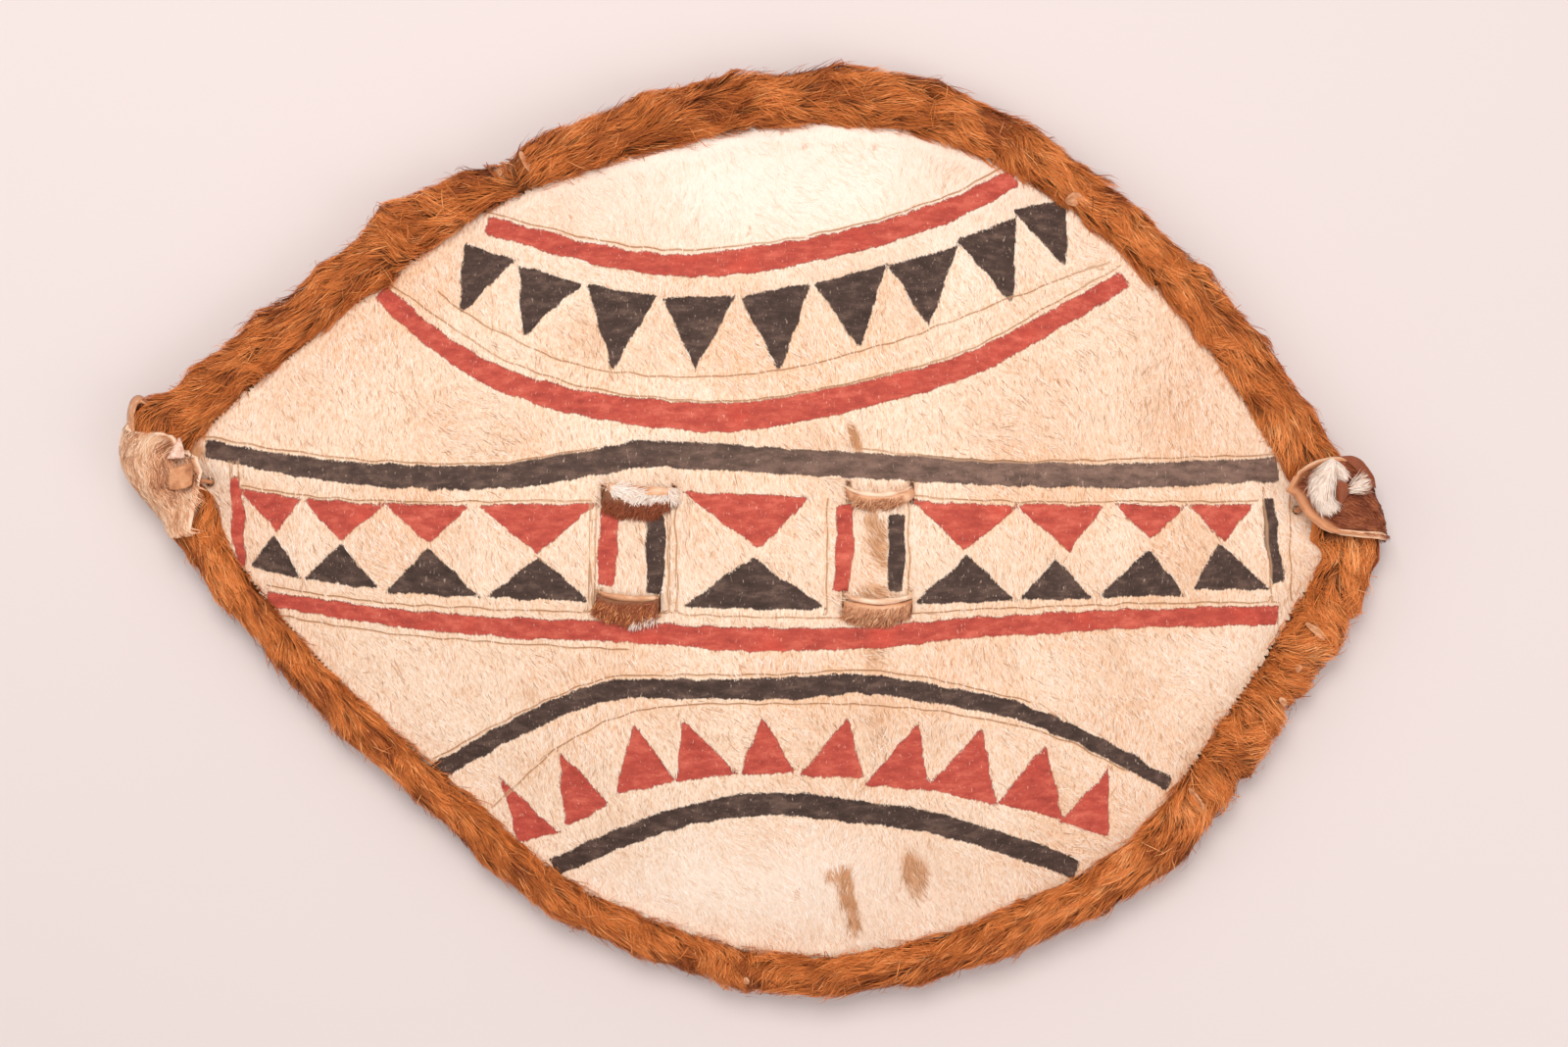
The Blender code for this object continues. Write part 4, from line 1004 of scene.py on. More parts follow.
# Hair stops short of the paint, and most that would cross a cut is left out
clear = np.ones(len(x))
for share in (1.0, 0.85, 0.7, 0.55, 0.4, 0.25):
    paint, _ = read_fields(x + np.cos(turn) * long * share, y + np.sin(turn) * long * share)
    clear = np.where(paint < 0.1, share, clear)
long = np.where(clear < 1.0, long * np.maximum(clear - 0.12, 0.15), long)
crossing = np.zeros(len(x), dtype=bool)
for share in (0.0, 0.33, 0.66, 1.0):
    _, cut = read_fields(x + np.cos(turn) * long * share, y + np.sin(turn) * long * share)
    crossing |= cut < 0.75
root_paint, _ = read_fields(x, y)
bare = (root_paint < 0.2) | (crossing & (draw.random(len(x)) < 0.9)) | (opening_gap(x, y) < 0.0028)
x, y, turn, long = (values[~bare][:FACE_HAIRS] for values in (x, y, turn, long))
count = len(x)
share = np.array([0.0, 0.5, 1.0])[None, :]
path_x = x[:, None] + np.cos(turn)[:, None] * long[:, None] * share
path_y = y[:, None] + np.sin(turn)[:, None] * long[:, None] * share
crest = draw.uniform(0.0003, 0.0010, count)[:, None]
path_z = hide_height(path_x, path_y) - 0.0002 + crest * np.sin(share * 2.2)
tone = np.clip(0.55 + 0.20 * draw.normal(size=count) + 0.12 * ripple(x, y, 0.08, 83), 0.02, 0.98)
tone = np.where(draw.random(count) < 0.05, 0.04, tone)
# The hair takes the same whitening, painted light near the top, and is darker where stained.
stain, white = stain_white_and_top_light(*as_seen(x, y, hide_height(x, y)))
tone = np.clip(tone + 0.30 * white - 0.85 * stain, 0.02, 0.98)
wide = FACE_HAIR_WIDTH * draw.uniform(0.7, 1.2, count)
paths = np.stack([path_x, path_y, path_z], -1)
hair_piece("face_hair", paths, wide, UPWARD, tone, face_hair, 0.5, 301)


# Bare skin: lenses of the rim's own skin, 5 to 19 mm long, where strips end or windings overlap.
# The hair is worn off them, and they have dried hard and curled up along one side. At the left
# tip the end of the upper left strip stands on edge as an ear.
def roll_spot(seen_x, seen_y):
    """The run and the angle on the roll of a seen place."""
    x, y, _ = seen_place(seen_x, seen_y, ROLL_MIDDLE + ROLL_HALF * 0.85)
    run = run_near((x, y))
    at, _, inward, half = rim_at(np.array([run]))
    reach = float(((np.array([x, y]) - at[0]) * inward[0]).sum())
    return run, math.acos(max(-0.95, min(0.95, reach / half[0])))


def thick_sheet(name, outer, thickness, material):
    """A sheet from a grid of points to its copy set back by the thickness, closed at its edges."""
    rows, columns = outer.shape[:2]
    out = unit(np.cross(np.gradient(outer, axis=0), np.gradient(outer, axis=1)))
    inner = outer - out * thickness
    inner[..., 2] = np.maximum(inner[..., 2], 0.0006)
    outer[..., 2] = np.maximum(outer[..., 2], 0.0004)
    front = grid_faces(rows, columns)
    back = front[:, ::-1] + rows * columns
    ring = np.concatenate([
        np.arange(columns - 1), np.arange(rows - 1) * columns + columns - 1,
        rows * columns - 1 - np.arange(columns - 1), (rows - 1 - np.arange(rows - 1)) * columns,
    ])
    after = np.roll(ring, -1)
    rim = np.stack([after, ring, ring + rows * columns, after + rows * columns], -1)
    points = np.concatenate([outer.reshape(-1, 3), inner.reshape(-1, 3)])
    return new_piece(name, points, np.concatenate([front, back, rim]), material)


RIM_SKIN_THICKNESS = 0.0011


def skin_patch(name, seen, along_mm, arc_mm, turn, low, high, material):
    """A lens of bare skin on the roll, curled up along one side."""
    run, angle = roll_spot(*seen)
    u, v = np.meshgrid(np.linspace(-1, 1, 17), np.linspace(-1, 1, 9), indexing="ij")
    v = v * (1.0 - u ** 2 * 0.92) ** 0.7
    first, second = u * arc_mm / 2000, v * along_mm / 2000
    turn = math.radians(turn)
    shift = first * math.sin(turn) + second * math.cos(turn)
    arc = first * math.cos(turn) - second * math.sin(turn)
    rise = low + (high - low) * (0.5 + 0.5 * v) ** 2 + 0.0003 * ripple(first, second, 0.006, 91)
    outer, _ = roll_place(run + shift, angle + arc / ROLL_HALF, rise, STRIPS[0][2:])
    return thick_sheet(name, outer, RIM_SKIN_THICKNESS, material)


bare_skin = mottled_material(
    "bare_skin", 0.55, 0.4, (EVEN, 260.0, 4.0),
    [(0.30, (0.46, 0.17, 0.06)), (0.50, (0.66, 0.31, 0.15)), (0.70, (0.80, 0.48, 0.29))],
    0.0003, (EVEN, 1400.0),
)

# Seen place in mm, width and length in mm, turn from across the roll, low and high side
PATCHES = [
    ((-122.0, 198.5), 2.4, 14.0, 4.0, 0.0002, 0.0036),
    ((173.0, 178.0), 7.0, 10.5, -10.0, -0.0006, 0.0036),
    ((239.5, -149.5), 3.6, 19.0, -24.0, -0.0006, 0.0026),
    ((304.0, -55.5), 2.8, 13.0, -6.0, -0.0010, 0.0014),
    ((295.0, -74.5), 2.4, 5.0, -50.0, -0.0002, 0.0014),
    ((286.0, -94.0), 2.4, 6.0, -20.0, -0.0004, 0.0014),
    ((-4.0, -244.0), 2.6, 5.0, 20.0, 0.0000, 0.0018),
]
for index, (seen, wide, tall, turn, low, high) in enumerate(PATCHES):
    skin_patch("bare_skin_%d" % (index + 1), seen, wide, tall, turn, low, high, bare_skin)


# The ear: its top edge as seen places, from which its sides lean out round its middle
EAR_EDGE = [
    (-335.5, 51.0), (-335.5, 61.0), (-334.0, 67.0), (-331.0, 69.0), (-327.5, 67.0), (-324.5, 64.0),
    (-321.5, 62.5),
]
EAR_MIDDLE = (-328.0, 57.0)
EAR_LEAN = (34.0, 22.0)
ear_line = smooth_points(EAR_EDGE, 5, False)
ear_top = 0.0265 - 0.006 * np.linspace(0, 1, len(ear_line)) ** 2
ear = np.stack([
    seen_place(*(line + (line - middle) * drop * lean
                 for line, middle, lean in zip(ear_line.T, EAR_MIDDLE, EAR_LEAN)), ear_top - drop).T
    for drop in (0.0, 0.0008, 0.0025, 0.006, 0.012)
], 1)
thick_sheet("ear_of_skin", ear, RIM_SKIN_THICKNESS, bare_skin)


# Caps: a patch of 2 mm hide folded over each tip of the rim, hair side out, its front edge rolled
# up. The left patch is pale and the right one dark brown; both are tied down through the hide.

# For each: its stretch of the rim, how far it stands in from and out of the roll, its last angle in
# degrees, its front edge, rolled lip and slanted ends, and how it is pulled out of line in mm
LEFT_CAP = {
    "name": "left_cap", "slot": "pale_hide", "runs": (0.8060, 0.8640), "inside": 0.0120,
    "outside": -0.0040, "last": 293.0,
    "edge": [(0.0, 0.0065), (0.16, 0.0140), (0.25, 0.0180), (0.375, 0.0202), (0.52, 0.0200),
             (0.80, 0.0085), (1.0, 0.0020)],
    "lip": (0.0012, 0.0024, 0.0024), "wave": 0.0004,
    "top": [(0.5, 0.0), (1.0, 0.004), (1.57, 0.0085), (2.4, 0.005), (3.14, -0.001)],
    "bottom": [(0.5, 0.0), (1.2, 0.004), (1.8, 0.008), (2.6, 0.009), (3.14, 0.006)],
    "pull": [
        [(6.9, 5.3), (5.8, 8.5), (3.7, 3.7), (0.5, -0.5), (-5.8, -4.2), (-7.0, -5.0), (0.0, 0.0)],
        [(2.7, 4.2), (2.1, 5.3), (0.0, 3.2), (-2.1, 1.1), (-2.1, 0.0), (-1.6, 0.0), (0.0, 0.0)],
        [(4.2, -4.8), (2.1, -0.5), (1.1, 0.0), (1.1, 0.5), (1.6, 0.5), (1.6, 0.5), (0.0, 0.0)],
        [(3.2, -3.2), (3.2, -2.1), (3.7, -1.6), (4.2, -1.1), (4.2, -0.5), (4.2, -0.5), (0.0, 0.0)],
        [(3.2, -5.8), (3.2, -5.8), (4.2, -4.2), (4.8, -1.6), (4.8, 1.6), (4.8, 2.2), (0.0, 0.0)],
    ],
}
RIGHT_CAP = {
    "name": "right_cap", "slot": "dark_hide", "runs": (0.0480, 0.0045), "inside": 0.0080,
    "outside": 0.0006, "last": 280.0,
    "edge": [(0.0, 0.0110), (0.12, 0.0185), (0.25, 0.0195), (0.50, 0.0175), (0.68, 0.0130), (0.82, 0.0060),
             (0.93, -0.0020), (1.0, -0.0120)],
    "lip": (0.0022, 0.0034, 0.0026), "wave": 0.0004,
    "top": [(0.5, 0.0), (1.2, 0.005), (1.8, 0.0115), (2.5, 0.0190), (3.14, 0.0200)],
    "bottom": [(0.9, 0.0), (1.6, -0.001), (2.4, -0.002), (3.14, -0.002)],
    "pull": [
        [(-6.4, 3.2), (-6.4, 9.5), (-7.4, 10.6), (-8.0, 10.6), (-6.9, 9.0), (-5.8, 7.4), (0.0, 0.0)],
        [(-1.1, 6.9), (-2.6, 4.8), (-3.2, 4.2), (-2.6, 3.2), (-2.1, 3.2), (-2.1, 2.6), (0.0, 0.0)],
        [(-2.1, 3.2), (-1.6, 1.6), (-1.1, 1.1), (-1.1, 1.1), (-1.1, 0.5), (-1.1, 0.5), (0.0, 0.0)],
        [(-2.1, -2.1), (-1.1, -2.1), (0.0, -0.5), (-0.5, 0.5), (-1.1, 0.0), (-1.1, 0.0), (0.0, 0.0)],
        [(0.0, 0.0), (1.1, 0.5), (1.1, 1.6), (0.5, 2.1), (-1.1, 3.2), (-1.1, 3.2), (0.0, 0.0)],
    ],
}

# The angles round the roll that the columns of each pull table stand for
PULL_ANGLES = [0.8, 1.57, 2.0, 2.4, 2.8, 3.14, 4.9]
CAP_STAND = 0.0034
CAP_THICKNESS = 0.0022


def cap_pull(cap, share, angle):
    """How far a cap is drawn out of line at a share and an angle, as a shift in plan."""
    row = np.clip(share, 0.0, 1.0) * 4.0
    low = np.minimum(row.astype(int), 3)
    table = np.array(cap["pull"]) / 1000
    lines = np.stack([
        np.stack([np.interp(angle, PULL_ANGLES, line[:, axis]) for axis in (0, 1)], -1) for line in table
    ])
    part = (row - low)[..., None]
    low = low[None, ..., None] + np.zeros((1,) + angle.shape + (2,), dtype=int)
    below = np.take_along_axis(lines, low, 0)[0]
    above = np.take_along_axis(lines, low + 1, 0)[0]
    return below + (above - below) * part


def cap_place(cap, share, angle, offset):
    """Places on a cap by share along it, angle round it and height above it."""
    run = cap["runs"][0] + (cap["runs"][1] - cap["runs"][0]) * share
    way = math.copysign(1.0, cap["runs"][1] - cap["runs"][0])
    top = np.interp(angle, *zip(*cap["top"])) * np.clip(1.0 - share, 0.0, 1.0)
    run = run + way * (top - np.interp(angle, *zip(*cap["bottom"])) * np.clip(share, 0.0, 1.0))
    at, _, inward, half = rim_at(run)
    cos, sin = np.cos(angle), np.sin(angle)
    wide = np.where(cos > 0, half + cap["inside"], half + cap["outside"] * np.sin(math.pi * share))
    lean = unit(np.stack([cos / wide, sin / ROLL_HALF], -1))
    plan = at + inward * (wide * cos + lean[..., 0] * offset)[..., None]
    plan = plan + cap_pull(cap, share + 0.0 * angle, angle + 0.0 * share)
    up = ROLL_MIDDLE + ROLL_HALF * sin + lean[..., 1] * offset
    return np.concatenate([plan, np.maximum(up, 0.0006)[..., None]], -1), lean, inward


def cap_first(cap, share):
    """The angle of the cap's front edge."""
    run = cap["runs"][0] + (cap["runs"][1] - cap["runs"][0]) * share
    half = rim_at(run)[3]
    reach = np.interp(share, *zip(*cap["edge"]))
    wide = np.where(reach > 0, half + cap["inside"], half + cap["outside"] * np.sin(math.pi * share))
    return np.arccos(np.clip(reach / wide, -0.98, 0.98)), wide


def cap_offset(cap, share, away):
    """Height of the cap's face over the roll, with its rolled front edge, by distance from that edge."""
    place, height, width = cap["lip"]
    lip = height * np.exp(-((away - place) / width) ** 2)
    dent = -0.0012 * np.exp(-((away - place - 0.0055) / 0.0035) ** 2)
    length = share * 0.05
    rough = cap["wave"] * ripple(length, away, 0.013, 95) + 0.0002 * ripple(length, away, 0.004, 96)
    return CAP_STAND + lip + dent + rough


def make_cap(cap, material):
    """The patch itself, with the distance from its front edge kept for its colour."""
    rows, columns = 49, 60
    share = np.linspace(0.0, 1.0, rows)[:, None] + np.zeros((1, columns))
    first, wide = cap_first(cap, share)
    t = (np.linspace(0.0, 1.0, columns) ** 1.25)[None, :]
    angle = first + (math.radians(cap["last"]) - first) * t
    away = (angle - first) * (wide + ROLL_HALF) / 2
    away = np.minimum(away, np.minimum(share, 1.0 - share) * 0.10 + 0.004)
    outer, _, _ = cap_place(cap, share, angle, cap_offset(cap, share, away))
    if cap["runs"][1] > cap["runs"][0]:
        outer, away, share = outer[::-1].copy(), away[::-1], share[::-1]
    patch = thick_sheet(cap["name"] + "_skin", outer, CAP_THICKNESS, material)
    side = np.minimum(share, 1.0 - share) * abs(cap["runs"][1] - cap["runs"][0])
    set_values(patch, "edge", np.concatenate([np.minimum(away, side + 0.001), 0 * away]) * 1000)
    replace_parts(patch, cap["name"])


def cap_hair(cap, count, long, width, turn, tones, material, seed, bare_edge):
    """Short hair on a cap, lying along it, with the strip by its front edge left bare."""
    draw = np.random.default_rng(seed)
    share = draw.random(count)
    first, wide = cap_first(cap, share)
    angle = first + (math.radians(cap["last"] - 60) - first) * draw.random(count) ** 1.1
    keep = (angle - first) * wide > bare_edge
    share, angle = share[keep], angle[keep]
    count = len(share)
    span = abs(cap["runs"][1] - cap["runs"][0])
    way = turn + 0.35 * ripple(share * span, angle * ROLL_HALF, 0.018, seed)
    way = way + 0.22 * draw.normal(size=count)
    long = long * draw.uniform(0.6, 1.2, count)
    t = np.array([0.0, 0.5, 1.0])[None, :]
    path_share = share[:, None] + np.cos(way)[:, None] * long[:, None] / span * t
    path_angle = angle[:, None] + np.sin(way)[:, None] * long[:, None] / 0.019 * t
    path_share = np.clip(path_share, -0.05, 1.06)
    first, wide = cap_first(cap, np.clip(path_share, 0.0, 1.0))
    away = np.maximum((path_angle - first) * (wide + ROLL_HALF) / 2, 0.0)
    climb = draw.uniform(0.0003, 0.0012, count)[:, None] * np.sin(t * 2.2)
    offset = cap_offset(cap, path_share, away) + climb
    paths, lean, inward = cap_place(cap, path_share, path_angle, offset)
    out = np.concatenate([inward * lean[..., :1], lean[..., 1:]], -1)
    tone = np.clip(tones(share, angle) + 0.20 * draw.normal(size=count), 0.02, 0.98)
    wide = width * draw.uniform(0.7, 1.2, count)
    hair_piece(cap["name"] + "_hair", paths, wide, out, tone, material, 0.6, seed + 1)


pale_skin, tree, shader = new_material("pale_cap_skin", 0.6, 0.35)
cloud = noise_node(place_node(tree), 120.0, 4.0, 0.6)
fine = noise_node(place_node(tree, (1.0, 0.4, 1.0)), 900.0, 3.0)
skin = ramp_node(cloud, [
    (0.32, (0.24, 0.085, 0.040)), (0.48, (0.42, 0.185, 0.095)), (0.66, (0.58, 0.32, 0.19)),
])
edge = attribute_node(tree, "edge")
skin = mix_node(step_node(edge, 4.5, 1.0), skin, (0.66, 0.33, 0.18))
skin = mix_node(step_node(edge, 2.4, 0.8), skin, (0.88, 0.64, 0.46))
skin = mix_node(step_node(fine, 0.55, 0.75, 0.0, 0.5), skin, (0.36, 0.15, 0.08))
finish_shader(shader, skin, fine, 0.0005)
make_cap(LEFT_CAP, pale_skin)
pale_hair = hair_material(
    "pale_cap_hair",
    [(0.0, (0.19, 0.060, 0.026)), (0.3, (0.46, 0.180, 0.085)), (0.6, (0.78, 0.41, 0.22)),
     (1.0, (0.95, 0.72, 0.52))],
    0.85, 1.0, 0.7,
)
cap_hair(
    LEFT_CAP, 9000, 0.0078, 0.00044, 0.15,
    lambda share, angle: 0.50 + 0.22 * np.clip(angle - 1.45, -0.8, 1.2) + 0.30 * np.abs(share - 0.45)
    + 0.16 * ripple(share * 0.05, angle * ROLL_HALF, 0.010, 98),
    pale_hair, 400, 0.0036,
)

dark_skin, tree, shader = new_material("dark_cap_skin", 0.55, 0.4)
cloud = noise_node(place_node(tree), 150.0, 4.0, 0.6)
fine = noise_node(place_node(tree, (0.4, 1.0, 1.0)), 900.0, 3.0)
skin = mix_node(cloud, (0.17, 0.035, 0.012), (0.34, 0.090, 0.030))
lip = mix_node(cloud, (0.48, 0.17, 0.065), (0.78, 0.38, 0.19))
edge = attribute_node(tree, "edge")
skin = mix_node(step_node(edge, 6.0, 3.4), skin, lip)
skin = mix_node(step_node(edge, 0.9, 0.2), skin, (0.80, 0.50, 0.32))
finish_shader(shader, skin, fine, 0.0004)
make_cap(RIGHT_CAP, dark_skin)
dark_hair = hair_material(
    "dark_cap_hair",
    [(0.0, (0.10, 0.018, 0.007)), (0.5, (0.30, 0.072, 0.024)), (1.0, (0.56, 0.20, 0.085))],
    0.80, 1.1, 0.5,
)
cap_hair(
    RIGHT_CAP, 9000, 0.0052, 0.00040, 0.85,
    lambda share, angle: 0.42 + 0.16 * ripple(share * 0.05, angle * ROLL_HALF, 0.012, 99),
    dark_hair, 410, 0.0062,
)

# The end of the dark patch, which stands up behind its top corner: seen places and heights
flap_corners = [
    [(318.0, 38.5, 0.0280), (324.5, 38.8, 0.0275), (330.0, 35.0, 0.0265)],
    [(325.5, 32.0, 0.0255), (331.0, 31.5, 0.0250), (335.5, 27.5, 0.0235)],
    [(331.5, 24.0, 0.0220), (334.0, 23.5, 0.0215), (337.0, 21.5, 0.0200)],
]
flap = np.array([[seen_place(*corner) for corner in row] for row in flap_corners])
flap = smooth_points(flap.reshape(3, 9), 6, False).reshape(-1, 3, 3).transpose(1, 0, 2)
flap = smooth_points(flap.reshape(3, -1), 5, False).reshape(11, -1, 3)
end_flap = thick_sheet("right_cap_end", flap[::-1].copy(), 0.0020, dark_skin)
AWAY_FROM_EDGE = 8.0
set_values(end_flap, "edge", np.full(len(end_flap.data.vertices), AWAY_FROM_EDGE))


# Ties: a 3 mm thong from each cap through a hole in the hide and round the stave, pulled tight.
# The left one ends in a square tab with a pale tongue beside it, and the right one in a knot of
# white goat fur with short brown ends.
tie_leather = mottled_material(
    "tie_leather", 0.55, 0.4, (EVEN, 160.0, 4.0, 0.6),
    [(0.30, (0.34, 0.12, 0.05)), (0.52, (0.58, 0.25, 0.11)), (0.75, (0.72, 0.38, 0.20))],
    0.0003, (EVEN, 1500.0), (0.60, 0.72, 0.40, (0.30, 0.12, 0.05)),
)
tongue_skin = mottled_material(
    "tongue_skin", 0.6, 0.35, (EVEN, 300.0, 4.0, 0.6),
    [(0.35, (0.62, 0.30, 0.20)), (0.60, (0.90, 0.68, 0.55))], 0.0005,
)


def folded_strip(name, corners, steps, thickness, material, wave):
    """A strip of skin through rows of seen places and heights, smoothed both ways."""
    grid = np.array([[seen_place(*corner) for corner in row] for row in corners])
    rows, columns = grid.shape[:2]
    grid = smooth_points(grid.reshape(rows, -1), steps, False).reshape(-1, columns, 3)
    grid = smooth_points(grid.transpose(1, 0, 2).reshape(columns, -1), steps, False)
    grid = grid.reshape((columns - 1) * steps + 1, -1, 3).transpose(1, 0, 2).copy()
    grid[..., 2] += wave * ripple(grid[..., 0], grid[..., 1], 0.006, 97)
    if np.cross(grid[-1, 0] - grid[0, 0], grid[0, -1] - grid[0, 0])[2] < 0:
        grid = grid[::-1].copy()
    return thick_sheet(name, grid, thickness, material)


folded_strip("left_tab", [
    [(-315.8, 21.2, 0.0352), (-311.0, 21.0, 0.0360), (-307.0, 21.8, 0.0354), (-303.6, 23.4, 0.0338)],
    [(-315.8, 27.0, 0.0352), (-311.0, 27.0, 0.0370), (-307.0, 27.8, 0.0362), (-303.0, 29.2, 0.0340)],
    [(-315.8, 32.2, 0.0350), (-311.0, 33.2, 0.0362), (-307.0, 34.6, 0.0356), (-303.2, 35.2, 0.0336)],
], 6, 0.0030, tie_leather, 0.0003)
folded_strip("left_tongue", [
    [(-311.0, 48.6, 0.0355), (-310.3, 49.2, 0.0362), (-309.6, 48.6, 0.0355)],
    [(-314.2, 43.0, 0.0352), (-311.0, 43.4, 0.0378), (-308.0, 43.0, 0.0352)],
    [(-317.2, 37.6, 0.0340), (-312.4, 37.8, 0.0368), (-307.2, 38.0, 0.0334)],
], 5, 0.0016, tongue_skin, 0.0003)


# The stave that the ties pass round: its ends in plan and its middle, bowed down and outward
STAVE_ENDS = [(-0.2943, 0.0163), (0.2993, 0.0056)]
STAVE_MIDDLE_Y = -0.0075


def stave_at(x):
    """Middle and radius of the stave where it passes an x."""
    share = (x - STAVE_ENDS[0][0]) / (STAVE_ENDS[1][0] - STAVE_ENDS[0][0])
    bow = np.clip(1.0 - (2.0 * share - 1.0) ** 2, 0.0, 1.0)
    y = STAVE_ENDS[0][1] + (STAVE_ENDS[1][1] - STAVE_ENDS[0][1]) * share
    y = y + (STAVE_MIDDLE_Y - (STAVE_ENDS[0][1] + STAVE_ENDS[1][1]) / 2) * bow
    return y, 0.0083 + 0.008 * bow, 0.0040 + 0.0025 * bow ** 0.7


def thong(name, route, material, seed):
    """A thong with rounded sides along a route of place, way across, width and thickness."""
    line = smooth_points(route, 5, False)
    middle, across = line[:, :3], line[:, 3:6]
    along = unit(np.gradient(middle, axis=0))
    across = unit(across - along * (across * along).sum(1, keepdims=True))
    up = np.cross(along, across)
    angle = np.linspace(0.0, math.tau, 17)[:-1]
    wide = np.sign(np.cos(angle)) * np.abs(np.cos(angle)) ** 0.6
    thick = np.sign(np.sin(angle)) * np.abs(np.sin(angle)) ** 0.7
    length = np.arange(len(line))[:, None]
    uneven = 1.0 + 0.09 * ripple(length * 0.001, angle[None, :] * 0.002, 0.006, seed)
    half = line[:, 6:7] / 2 * uneven, line[:, 7:8] / 2 * uneven
    points = middle[:, None, :] + across[:, None, :] * (half[0] * wide)[..., None]
    points = points + up[:, None, :] * (half[1] * thick)[..., None]
    points[..., 2] = np.maximum(points[..., 2], 0.0008)
    return new_piece(name, points.reshape(-1, 3), grid_faces(len(line), 16, True), material)


def tie_route(hole_x, hole_y, under_x, lead):
    """A tie from the cap, down its hole, under the stave and up to the hide's back."""
    stave_y, stave_z, radius = stave_at(under_x)
    hug = radius + 0.0016
    flat = (1.0, 0.0, 0.0, 0.0030, 0.0022)
    route = [(*place, *flat) for place in lead]
    route.append((hole_x, hole_y, 0.0185, *flat))
    route.append((hole_x, hole_y, 0.0130, *flat))
    for angle in (0.0, 0.8, 1.57, 2.35, 3.14):
        route.append((under_x, stave_y + math.cos(angle) * hug, stave_z - math.sin(angle) * hug, *flat))
    route.append((under_x, stave_y - hug, 0.0112, *flat))
    return route


left_lead = [(-0.3100, 0.0300, 0.0290), (-0.3040, 0.0290, 0.0265), (-0.2985, 0.0277, 0.0235)]
right_lead = [(0.3080, 0.0250, 0.0325), (0.3010, 0.0230, 0.0305), (0.2965, 0.0165, 0.0245)]
left_route = tie_route(*HOLE_PLACES[0], -0.2888, left_lead)
right_route = tie_route(*HOLE_PLACES[1], 0.2938, right_lead)
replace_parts(thong("left_tie_thong", left_route, tie_leather, 531), "left_tie")
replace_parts(thong("right_tie_thong", right_route, tie_leather, 532), "right_tie")

white_hair = hair_material(
    "white_tuft_hair",
    [(0.0, (0.34, 0.17, 0.09)), (0.25, (0.66, 0.43, 0.30)), (0.6, (0.92, 0.80, 0.70)),
     (1.0, (1.0, 0.95, 0.90))],
    0.85, 1.0, 0.6,
)


FINE_HAIR_WIDTH = 0.00042


def tuft(name, spine, count, long, material, tones, seed, splay):
    """Hair that clothes a spine of seen places, heights and widths, and lies along it."""
    draw = np.random.default_rng(seed)
    spine = np.array(spine, dtype=float)
    line = np.array([seen_place(px, py, z) for px, py, z, *_ in spine])
    share = draw.random(count) * 0.92
    knots = np.linspace(0.0, 1.0, len(spine))
    at, ahead, behind = (
        np.stack([np.interp(np.clip(share + shift, 0.0, 1.0), knots, axis) for axis in line.T], -1)
        for shift in (0.0, 0.08, -0.08)
    )
    way = unit(ahead - behind)
    side = unit(np.cross(way, UPWARD))
    up = np.cross(side, way)
    wide = np.interp(share, knots, spine[:, 3]) / 2000
    thick = np.interp(share, knots, spine[:, 4]) / 2000
    angle = draw.uniform(-0.3, math.pi + 0.3, count)
    root = at + side * (np.cos(angle) * wide)[:, None] + up * (np.sin(angle) * thick)[:, None]
    out = side * np.cos(angle)[:, None] + up * np.sin(angle)[:, None]
    long = long * draw.uniform(0.6, 1.15, count)
    wander = splay * draw.normal(size=(count, 1))
    t = np.array([0.0, 0.35, 0.7, 1.0])[None, :, None]
    widen = (np.interp(np.minimum(share + 0.3, 1.0), knots, spine[:, 3]) / 2000 - wide) * np.cos(angle)
    heading = way + side * wander * 0.5 + out * 0.10
    paths = root[:, None, :] + heading[:, None, :] * long[:, None, None] * t
    paths = paths + (side * widen[:, None])[:, None, :] * t
    paths = paths + (out * 0.0006)[:, None, :] * np.sin(t * math.pi)
    tone = np.clip(tones + 0.13 * draw.normal(size=count), 0.02, 0.98)
    width = FINE_HAIR_WIDTH * draw.uniform(0.7, 1.2, count)
    hair_piece(name, paths, width, out[:, None, :], tone, material, 0.6, seed + 1)


# Seen place in mm, height in metres, then width and thickness in mm
tuft("white_tuft", [
    (313.5, 37.5, 0.0375, 2.5, 3.0), (311.5, 32.5, 0.0385, 5.0, 5.0), (309.0, 27.0, 0.0380, 9.0, 6.5),
    (307.5, 21.5, 0.0372, 12.0, 7.0), (308.5, 16.5, 0.0360, 9.0, 5.5), (310.5, 13.5, 0.0352, 5.0, 3.5),
], 3000, 0.0085, white_hair, 0.58, 500, 0.34)
tuft("white_wisp", [
    (313.5, 36.5, 0.0372, 2.5, 2.0), (316.5, 32.5, 0.0378, 3.5, 2.5), (319.0, 29.0, 0.0372, 3.5, 2.5),
], 320, 0.0055, white_hair, 0.58, 510, 0.25)
tuft("white_fringe", [
    (321.5, 21.0, 0.0350, 4.0, 2.0), (325.5, 22.5, 0.0348, 5.5, 2.5), (329.0, 24.0, 0.0340, 6.5, 2.0),
], 260, 0.0070, white_hair, 0.50, 520, 0.45)
folded_strip("right_knot_strap", [
    [(310.5, 36.5, 0.0368), (312.5, 37.5, 0.0378), (314.5, 37.0, 0.0368)],
    [(314.5, 31.5, 0.0376), (316.7, 32.5, 0.0390), (318.7, 33.5, 0.0374)],
    [(318.5, 27.0, 0.0366), (320.5, 27.2, 0.0378), (322.5, 28.4, 0.0364)],
], 5, 0.0014, tongue_skin, 0.0002)
